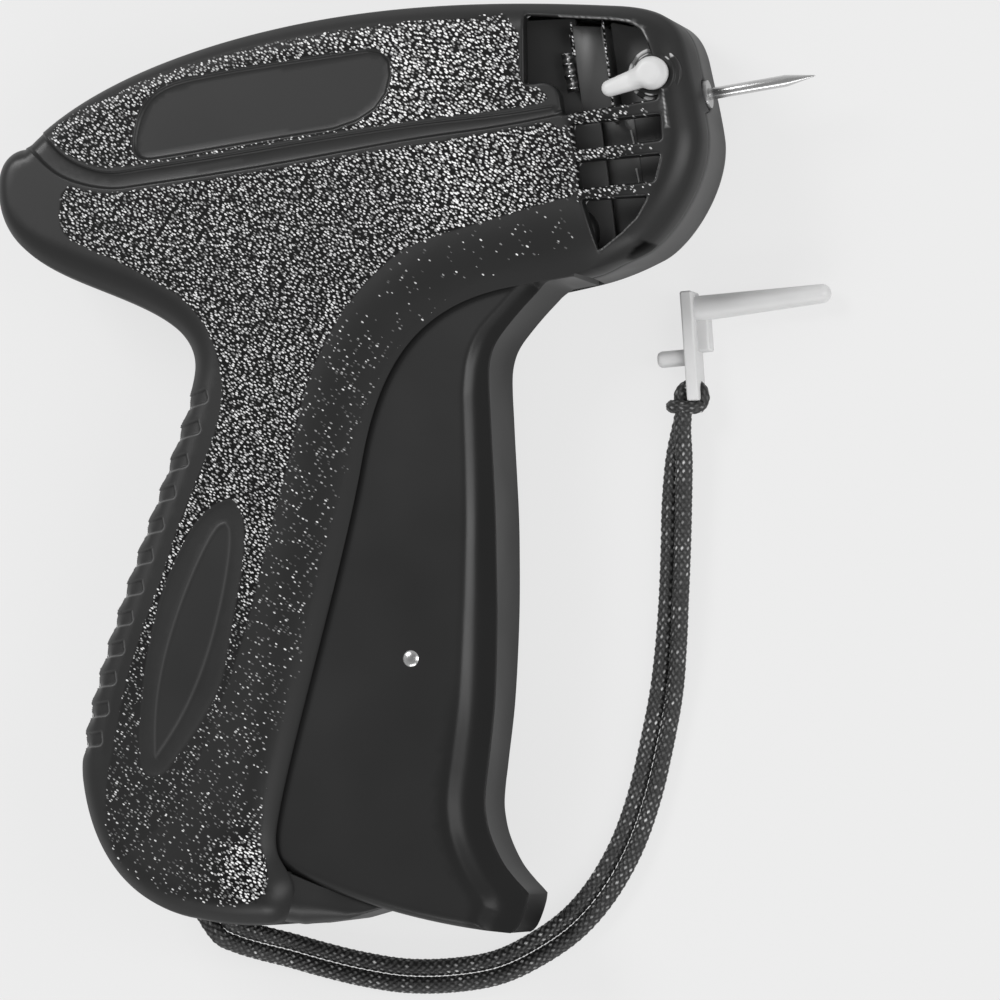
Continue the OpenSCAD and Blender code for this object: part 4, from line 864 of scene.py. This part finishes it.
def case_half(name, near):
    """One half of the case: its outer side, walls and ceiling."""
    if near:
        holes = [filleted(window_line(), 0.35)] + [filleted(s, 0.45) for s in SLOTS]
    else:
        holes = [s + SCREW_R * ring_of(32) for s in SCREWS]
    holes = [anticlockwise(even(h, 0.3)) for h in holes]
    low, high = (even(rounded(p, 2, False), FINE, False) for p in (BAND_LOW, BAND_HIGH))
    band = anticlockwise(np.vstack([low, high[::-1]]))
    panel, oval, lens = (anticlockwise(even(p, FINE)) for p in (rounded(PANEL), rounded(OVAL), lens_line()))
    zones = [anticlockwise(even(rounded(z, 1), 0.5)) for z in (GRAIN_LOW, GRAIN_HIGH, DENSE)]
    notches = notch_frames()

    # Points: lines along each detail, rings along the edge, and a grid between them
    loops = [outline] + holes
    sets = []
    for hole in holes:
        sets += [(hole - o * inward(hole), 0.1) for o in (0.08, 0.2, 0.38, 0.6)]
    for line in (band, oval, lens) + ((panel,) if near else ()):
        sets += [(line + o * inward(line), 0.15) for o in (-0.35, -0.15, 0.02, 0.2, 0.4, 0.7)]
    rings = offsets(outline, [edge_form[:, 0] * (1 - math.cos(a)) for a in np.radians(range(10, 91, 9))])
    sets += [(ring, 0.15) for ring in rings]
    rows = np.r_[np.arange(-3.4, -0.5, 0.3), np.arange(-0.5, 0.45, 0.13), 0.7, 1.0]
    columns = np.arange(0.1, 7, 0.2)
    patch = [p + u * down + v * across for p, down, across, _ in notches for u in rows for v in columns]
    sets += [(np.array(patch), 0.1)]
    sets += [(zone + o * inward(zone), 0.3) for zone in zones for o in (0.2, -0.2)]
    # Extra points along the painted highlight line beside the ladder.
    rubbed = even(SCUFFS[1][0], SCUFF_STEP, False)
    sets += [(rubbed + (o, 0), 0.06) for o in (-0.22, -0.08, 0.08, 0.22)]
    sets += [(grid_over(outline, 0.8), 0.5)]
    verts, faces = triangles(loops, spread(loops, sets))

    # Heights
    edge = edge_drop(verts)
    d_band, d_oval, d_lens = (depth_in(verts, line) for line in (band, oval, lens))
    d_panel = depth_in(verts, panel) if near else np.full(len(verts), -4.0)
    drop = edge + RECESS * np.maximum(steps(d_band, 0, 0.5), steps(d_panel, 0, 0.5))
    bead = np.exp(-((d_lens / BEAD_HALF) ** 2))
    drop += OVAL_DEEP * steps(d_oval, 0, 0.8) - BEAD_HIGH * bead
    for hole in holes:
        reach = np.clip(1 + depth_in(verts, hole) / HOLE_ROUND, 0, 0.97)
        drop += HOLE_DROP * (1 - np.sqrt(1 - reach**2))
    shift = np.zeros_like(verts)
    # Painted highlight: a pale line along the lens bead, as if it caught the light.
    rub = 0.045 * bead
    for p, down, across, far in notches:
        u, v = (verts - p) @ down, (verts - p) @ across
        local = (np.abs(u) < 5) & (v > -3) & (v < 8)
        right, low, high = far - v, -u, u + NOTCH_TALL
        over = np.maximum(NOTCH_ROUND - np.array([right, low]), 0)
        e = np.where(over.min(0) > 0, NOTCH_ROUND - np.hypot(*over), np.minimum(right, low))
        e = np.minimum(e, high)
        dig = steps(e, 0, NOTCH_EDGE) * local
        drop += NOTCH_DEEP * dig * steps(v, -0.2, 0.6)
        dent = 0.5 * np.exp(-((u / 1.1) ** 2)) + 0.15 * dig
        shift += np.outer(dent * local * (1 - steps(v, 0.8, 3)), across)
        # Painted highlight: a pale line along each notch's rim, fainter along its upper side.
        lit = np.where(high < 0.3, 0.3, 1) * steps(v, 0.2, 1.2)
        rub = np.maximum(rub, 0.17 * lit * np.exp(-(((e - 0.02) / 0.13) ** 2)) * local)
    z = HALF - drop

    # Grain
    x, y = verts[:, 0], verts[:, 1]
    low, high, dense = (steps(depth_in(verts, zone), -0.2, 0.2) for zone in zones)
    bars = steps(x, 2, 4) * (1 - steps(x, 8, 19)) * (1 - steps(y, 19.6, 20.4))
    bars = bars * (0.9 if near else 0) * steps(y, 3.5, 5.5)
    dense = np.maximum(np.maximum(dense, high), bars > 0.05)
    dense = dense * np.where(high > 0.5, 1, 1 - 0.75 * steps(-y, 45, 75))
    grain = np.maximum(np.maximum(low, high), bars)
    grain = grain * (1 - 0.7 * steps(y, -22, -4) * (1 - dense))
    for d in (d_band, d_oval, d_panel):
        grain = grain * (1 - steps(d, -0.35, 0.0))
    # Painted sheen: a base level everywhere, raised in a few spots where reflections lie on the grain.
    worn = np.full(len(verts), 0.5)
    for wx, wy, reach, strong in WORN:
        patch = np.exp(-((x - wx) ** 2 + (y - wy) ** 2) / reach**2)
        worn += 0.6 * patch
        dense = np.maximum(dense, patch * strong)
    worn = np.minimum(worn, 1)
    # Painted highlight lines along the window's edge and beside the ladder.
    if near:
        rub = np.maximum(rub, 0.9 * scuffs(verts))

    # The side, then the wall down to the joint, then the holes' walls and the ceiling
    sign = np.array([1, 1, 1 if near else -1])
    skin = Skin()
    # Painted shade: the mesh marks the chin patch, and the wall below it, to be painted dark.
    dull, deep = steps(edge, 0.8, 2.6), steps(depth_in(verts, CHIN_PATCH), -0.1, 0.3) * near
    shares = {"grain": grain, "dense": dense, "worn": worn, "pale": rub, "dull": dull, "deep": deep}
    top = skin.points(np.c_[verts + shift, z] * sign, **shares)
    skin.cover(top, faces, not near)
    n = len(outline)
    foot = wall_foot(near)
    line = top[:n]
    # Painted light: the far half's edge strip towards the nose is painted paler, as if lit from the right.
    pale = 0.0 if near else FAR_PALE * steps(verts[:n, 0], -2, 4)
    for by, up in ((0, 1.6), (0, 0.75), (0.06, 0.45), (0.3, 0), (EDGE_WALL, 0)):
        level = np.minimum(foot + up, z[:n] - 0.02)
        below = skin.points(np.c_[verts[:n] + by * outline_in, level] * sign, pale=pale, dull=1.0, deep=deep[:n])
        skin.strip(line, below, flip=not near)
        line = below
    # Painted light: the inside of the wall and the ceiling are painted pale, standing in for the little light that
    # reaches in.
    inner = skin.points(lifted(verts[:n] + EDGE_WALL * outline_in, CEILING) * sign, pale=1.0)
    skin.strip(line, inner, flip=not near)
    start = n
    for hole in holes:
        own = slice(start, start + len(hole))
        low_rim = skin.points(lifted(verts[own], CEILING if near else SCREW_FLOOR) * sign, pale=0.0)
        skin.strip(top[own], low_rim, flip=near)
        if not near:
            skin.faces.append(tuple(low_rim))
        start += len(hole)
    ceiling = [outline[::3] + EDGE_WALL * outline_in[::3]] + ([h[::3] for h in holes] if near else [])
    verts, faces = triangles(ceiling)
    # Painted light on the ceiling, as on the inside of the wall.
    under = skin.points(lifted(verts, CEILING) * sign, pale=1.0)
    skin.cover(under, faces, near)
    return skin.piece(name, "case", "case_plastic", "near_case" if near else "far_case")


LIP = [(-66.8, -98.6), (-68, -105.7), (-62, -107.4), (-54.5, -107.5), (-47, -106.4)]
LIP_REACH, LIP_HALF = 116.84, 7.6


def make_lip():
    """The lip under the trigger: it runs out of the case and is cut to the arc of the trigger's lower edge."""
    arc = LIP_REACH * circle(np.linspace(math.atan2(-104.5, -46.5), math.atan2(-98, -63.6), 24))
    foot = anticlockwise(even(filleted(np.vstack([LIP, arc]), 0.5), FINE))
    verts, faces = filled(foot, [0.1, 0.25, 0.5, 0.9], 0.08, 0.6, 0.35)
    x = verts[:, 0]
    _, below = nearest(even(LIP[1:], 0.2, False), verts)
    r = 0.5 + 4 * (1 - steps(x, -63, -50))
    u = np.clip(1 - below / r, 0, 1)
    z = LIP_HALF + 3.4 * (1 - steps(x, -68, -52)) - r * (1 - np.sqrt(1 - 0.98 * u * u))
    skin = Skin()
    two_sided(skin, verts, faces, z, len(foot))
    return skin.piece("lip_skin", "case", "case_plastic")


# Trigger: its front edge is narrower than its side panels, which rise behind a soft shoulder
TRIGGER_R, TAIL_X, HEEL_X = 116.795, -66.5, -27.0
TRIGGER_FRONT = [
    (-0.4, -7.05), (-3.4, -7.1), (-5.4, -7.35), (-8.4, -9.5), (-10.8, -11.4), (-13.3, -13.6), (-15, -15.3),
    (-16.2, -17.1), (-17.1, -19.6), (-17.6, -23), (-18, -27.5), (-18.4, -32), (-18.9, -38), (-19.4, -43.5),
    (-20.1, -49.5), (-21.7, -61.3), (-24.1, -74.6), (-26.6, -84.5), (-27.6, -88.2), (-28.3, -91.5), (-28.4, -94),
    (-28.2, -96.5), (-27.5, -99.4), (-26.4, -102.3), (-24.9, -104.8), (-23.6, -106.6),
]
TRIGGER_TOE = [(-23, -107.5), (-23.3, -108.6), (-23.9, -110), (-24.7, -111.5), (-25.5, -112.7), (-26.3, -113.4)]
# The side's rise from the front wall to the panel, as shares of the flank's width and height
FLANK_AT = np.linspace(0, 1.36, 55)
FLANK_UP = np.interp(
    FLANK_AT, [0, 0.03, 0.06, 0.12, 0.5, 0.75, 0.9, 0.97, 1.06, 1.16, 1.26, 1.36],
    [1.2, 0.9, 0.5, 0.35, 0.45, 0.8, 1.4, 1.5, 1.0, 0.45, 0.12, 0],
)
FLANK_UP = np.r_[0, np.cumsum(FLANK_UP[1:] + FLANK_UP[:-1])]
FLANK_UP = FLANK_UP / FLANK_UP[-1]
PLAIN_DEPTH = [0, 0.15, 0.35, 0.6, 0.85, 1.1, 1.35, 1.6, 1.9]
PLAIN_DROP = [1.1, 0.85, 0.6, 0.37, 0.2, 0.1, 0.04, 0.01, 0]
WALL_Z, WALL_FALL, PANEL_Z, PANEL_FALL, TAPER = 7.7, 1.4, 9.5, 0.7, (45, 85)
BOSS_R, TOE_ROUND = 4.8, 2.4


def make_trigger():
    edge, toe = smooth_line(TRIGGER_FRONT, 0.35), smooth_line(TRIGGER_TOE, 0.3)
    front = np.vstack([edge, toe])[::-1]
    share = steps(front[:, 1], -7.2, -8.4)
    wall = WALL_Z - WALL_FALL * steps(-front[:, 1], *TAPER)
    flank = np.interp(-front[:, 1], [12, 24, 34, 62, 95], [2.4, 3.7, 3.9, 4.9, 5.4])
    ends = (math.atan2(-math.sqrt(TRIGGER_R**2 - x**2), x) for x in (TAIL_X, HEEL_X))
    sole = TRIGGER_R * circle(np.linspace(*ends, 110))
    boss = BOSS_R * circle(np.radians(np.linspace(-90, 54, 20)))
    rear = cubic(((-1, BOSS_R), (-48, -6), (-62, -62), sole[0]), np.linspace(0, 1, 120))[:-1]
    line = np.vstack([sole, front, boss, rear])
    rest = np.vstack([boss, rear, sole])
    depths = [0.05, 0.12, 0.25, 0.4, 0.6, 0.9, 1.3] + list(np.arange(1.7, 7.4, 0.22))
    verts, faces = filled(line, depths, 0.05, 1.6, 0.6)
    top = PANEL_Z - PANEL_FALL * steps(-verts[:, 1], *TAPER) * steps(verts[:, 0], -52, -32)
    at, _ = nearest(front, verts)
    from_edge, from_toe, side = (nearest(p, verts)[1] for p in (edge, toe, rest))
    h = np.clip(0.5 + 0.5 * (from_toe - from_edge) / TOE_ROUND, 0, 1)
    d = np.maximum(h * from_edge + (1 - h) * from_toe - TOE_ROUND * h * (1 - h), 0)
    m, low, wide = share[at], wall[at], flank[at]
    shaped = low + (top - low) * np.interp(d / wide, FLANK_AT, FLANK_UP)
    shaped = m * shaped + (1 - m) * (top - np.interp(d, PLAIN_DEPTH, PLAIN_DROP))
    z = np.minimum(shaped, top - np.interp(side, PLAIN_DEPTH, PLAIN_DROP))
    faded = 0.5 * steps(-verts[:, 1], 66, 84) * (1 - steps(d / wide, 1.3, 1.6))
    dull = m * np.maximum(0.7 * (1 - steps(d / wide, 0.6, 1.0)), faded)
    skin = Skin()
    two_sided(skin, verts, faces, z, len(line), dull)
    return skin.piece("trigger_skin", "trigger_body", "trigger_plastic", "trigger")


# Lock lever: a domed head that runs out into a tapered arm
LOCK_AT, LOCK_AIM = np.array([18.7, 23.5]), math.radians(190)
HEAD_R, ARM, ROOT_R, TIP_R = 2.75, 7.5, 1.75, 1.35
LOCK_FOOT, HEAD_H, ARM_H, NECK, SHAFT_R, SHAFT_FOOT = 13.4, 3.0, 2.1, 2.3, 1.6, 4.0


def make_lever():
    aim = np.array([math.cos(LOCK_AIM), math.sin(LOCK_AIM)])
    side = np.array([-aim[1], aim[0]])
    t = np.linspace(0, 1, 40)
    x = NECK + (ARM - NECK) * t
    r = ROOT_R + (TIP_R - ROOT_R) * t
    tip = np.radians(np.linspace(80, -80, 17))
    head = np.radians(np.linspace(-46, -314, 60))
    flat = np.vstack([np.c_[x, r], (ARM, 0) + TIP_R * circle(tip), np.c_[x, -r][::-1], HEAD_R * circle(head)])
    line = anticlockwise(even(rounded(flat, 2), 0.15))
    verts, faces = filled(line, [0.06, 0.18, 0.35, 0.6, 0.9, 1.2], 0.06, 0.3, 0.2)
    d = np.abs(depth_in(verts, line))
    tall = ARM_H + (HEAD_H - ARM_H) * (1 - steps(np.linalg.norm(verts, axis=1), 1.6, 4.2))
    u = np.clip(1 - d / 1.3, 0, 1)
    z = LOCK_FOOT + tall * (0.35 + 0.65 * np.sqrt(1 - u * u))
    place = LOCK_AT + verts @ [aim, side]
    skin = Skin()
    top = skin.points(np.c_[place, z])
    skin.cover(top, faces)
    n = len(line)
    foot = skin.points(lifted(place[:n], LOCK_FOOT))
    skin.strip(top[:n], foot)
    skin.faces.append(tuple(foot[::-1]))
    shaft = LOCK_AT + SHAFT_R * ring_of(36)
    skin.tube([lifted(shaft, h) for h in (SHAFT_FOOT, LOCK_FOOT + 0.2)])
    return skin.piece("lever_skin", "lock_body", "white_plastic", "lock_lever")


# Inside the window: floors painted paler as painted light, thin rods painted bright as highlights along the feed
# guide's edges, and the clip's flat spring
# Each floor's outline, bottom, top and how much painted light makes it paler
FLOORS = [
    ([(-5.9, 19), (4.7, 19), (4.7, 36.6), (-5.9, 38)], 2.4, 3.4, 0.15),
    ([(10.4, 19.2), (20.8, 19.2), (20.8, 28), (17, 32.5), (10.4, 35)], 2.2, 3.0, 0.4),
    ([(2.6, -3.6), (7.4, -3.6), (7.4, 18.6), (2.6, 18.6)], 6.4, 7.2, 0.12),
    ([(12.9, 0.5), (17.5, 3.5), (20.5, 8), (21.6, 14), (21.6, 18.6), (12.9, 18.6)], 5.2, 6.0, 0.05),
]
# Each highlight rod's line, radius, grain and painted light
WORN_EDGES = [
    ([(10.3, 34.6, 8), (10.2, 25.2, 8), (10.1, 19.8, 8)], 0.2, 1, 0),
    ([(4.65, 35.4, 7), (4.6, 29.6, 7)], 0.16, 1, 0),
    ([(4.1, 33.6, 6.4), (4.2, 29.8, 6.4)], 0.14, 1, 0),
    ([(16.6, 32.3, 3), (16.4, 30.4, 3)], 0.16, 0, 1),
    ([(12.1, 15.9, 6), (12.3, 13.6, 6)], 0.16, 0, 1),
    ([(12.1, 9.4, 6), (12.3, 7, 6)], 0.16, 0, 1),
]
CLIP_TOP, CLIP_LOW, CLIP_X, CLIP_LEAN, CLIP_Z = 30.5, 24, 2.85, 0.35, 5.5
CLIP_HALF, CLIP_THICK, CLIP_WAVE, CLIP_PITCH = 0.95, 0.17, 0.5, 2.1


def make_inside():
    # Painted light: each floor is painted paler by its share, standing in for light that barely reaches into the
    # case.
    floor = Skin()
    for flat, low, high, pale in FLOORS:
        flat = anticlockwise(even(filleted(flat, 0.6), FINE))
        levels = ((low, 0.2), (low + 0.2, 0), (high - 0.2, 0), (high - 0.06, 0.06), (high, 0.2))
        rings = [lifted(flat + by * inward(flat), z) for z, by in levels]
        floor.tube(rings, pale=np.full(len(rings), pale))
    floor.piece("window_floor", "case", "case_plastic")
    edges = Skin()
    # Painted highlights: thin rods along the guide's edges, given bright glint dots or pale colour.
    for line, r, grain, pale in WORN_EDGES:
        edges.rod(even(line, 0.3, False), r, grain=grain, dense=grain, worn=grain, pale=pale)
    edges.piece("guide_edges", "case", "case_plastic")
    spring = Skin()
    y = np.linspace(CLIP_TOP, CLIP_LOW, 80)
    x = CLIP_X + CLIP_LEAN * (CLIP_TOP - y) / (CLIP_TOP - CLIP_LOW)
    z = CLIP_Z + CLIP_WAVE * np.sin((y - CLIP_LOW) * 2 * math.pi / CLIP_PITCH)
    corners = [(a * CLIP_HALF, 0, b * CLIP_THICK) for a, b in ((-1, 1), (1, 1), (1, -1), (-1, -1))]
    spring.tube(np.c_[x, y, z][:, None] + corners)
    spring.piece("clip_spring_strip", "case", "spring_steel", "clip_spring")


# The lock ring's section, as radius and height
RING_FORM = [
    (1.8, 10.2), (4.5, 10.2), (4.5, 11.9), (4.42, 12.1), (4.25, 12.18), (3.75, 12.22), (3.62, 12.3), (3.58, 12.62),
    (3.45, 12.78), (3.3, 12.82), (1.8, 12.82),
]
# Which of its corners are rims, and where painted highlights lie along them, in degrees, with each stretch's half
# width
RING_RIMS = (3, 4, 7, 8)
RING_LIGHT = [(112, 18), (155, 9), (40, 6), (249, 13), (215, 4)]


def make_ring():
    """The dark stepped ring that the lock lever turns in."""
    a = np.radians(np.arange(0, 360, 4))
    rub = np.zeros(len(a))
    for mid, half in RING_LIGHT:
        off = (np.degrees(a) - mid + 180) % 360 - 180
        rub = np.maximum(rub, 1 - steps(np.abs(off), 0.6 * half, half))
    skin = Skin()
    lines = []
    for k, (r, z) in enumerate(RING_FORM):
        # Painted highlight: bright arcs on the rims.
        lines.append(skin.points(lifted(LOCK_AT + r * circle(a), z), pale=rub * (k in RING_RIMS)))
    for one, other in zip(lines, lines[1:] + lines[:1]):
        skin.strip(one, other, flip=True)
    return skin.piece("lock_ring_skin", "case", "case_plastic", "lock_ring")


COIL_TURNS, COIL_WIRE_R, SLIDER_TRAVEL = 9, 0.35, 32.305


def make_coil():
    """The return spring, as one coil of wire that fills the CAD spring's box, on a mesh of its own; the real spring
    closes up towards the rod guide as the slider comes forward.
    """
    low, high = (np.array(corner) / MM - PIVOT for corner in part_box("return_spring"))
    a = np.linspace(0, 2 * math.pi * COIL_TURNS, 24 * COIL_TURNS + 1)
    out = np.c_[0 * a, circle(a)]
    line = ((high[1] - low[1]) / 2 - COIL_WIRE_R) * out + (low + high) / 2
    line[:, 0] = np.linspace(low[0] + COIL_WIRE_R, high[0] - COIL_WIRE_R, len(a))
    skin = Skin()
    skin.tube(around(line, COIL_WIRE_R, 10, out, np.cross(out, unit(np.gradient(line, axis=0)))))
    coil = skin.piece("return_coil", "case", "spring_steel", "return_spring")
    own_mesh(coil)


make_inside()
make_ring()
make_coil()
case_half("case_near_skin", True)
case_half("case_far_skin", False)
make_lip()
make_trigger()
make_lever()


# Light and floor
LIGHT_AIM = Vector((0, 0, 0.01))


def make_world(overhead, beside):
    """Soft light that is dimmer overhead than beside the object."""
    p = Paint("world", bpy.data.worlds, "Background")
    height = p.add("ShaderNodeSeparateXYZ", {0: p.add("ShaderNodeTexCoord", {}, "Generated")}, 2)
    scene.world = p.set(Color=(1, 1, 1, 1), Strength=p.span(height, 0.55, 0.95, beside, overhead))


def area_light(name, at, size, power):
    data = bpy.data.lights.new(name, "AREA")
    data.shape = "RECTANGLE"
    data.size, data.size_y = size
    data.energy = power
    obj = bpy.data.objects.new(name, data)
    scene.collection.objects.link(obj)
    obj.location = at
    obj.rotation_euler = (LIGHT_AIM - Vector(at)).to_track_quat("-Z", "Y").to_euler()


def make_floor(level, steady):
    """A pale table that keeps the shadow, faintly: part of what the camera sees is a steady tone."""
    mesh = bpy.data.meshes.new("floor")
    mesh.from_pydata([(-2, -2, 0), (2, -2, 0), (2, 2, 0), (-2, 2, 0)], [], [(0, 1, 2, 3)])
    floor = bpy.data.objects.new("floor", mesh)
    scene.collection.objects.link(floor)
    p = Paint("floor")
    p.set(Base_Color=grey(0.8), Roughness=0.9)
    glow = p.add("ShaderNodeEmission", {"Color": grey(level), "Strength": 1.0})
    path = p.add("ShaderNodeLightPath", {}, "Is Camera Ray").node.outputs
    mirrored = p.math("MAXIMUM", path["Is Glossy Ray"], path["Is Transmission Ray"])
    seen = p.times(p.math("MAXIMUM", path["Is Camera Ray"], mirrored), steady)
    both = p.add("ShaderNodeMixShader", {0: seen, 1: p.shader.outputs[0], 2: glow})
    p.put(p.tree.nodes["Material Output"].inputs["Surface"], both)
    mesh.materials.append(p.mat)


make_world(0.3, 0.55)
area_light("key", (-0.35, 0.45, 0.6), (0.3, 0.3), 3.6)
area_light("side", (0.6, -0.1, 0.45), (0.3, 0.6), 2.2)
area_light("low", (-0.05, -0.7, 0.4), (0.6, 0.2), 1.8)
make_floor(0.838, 0.87)
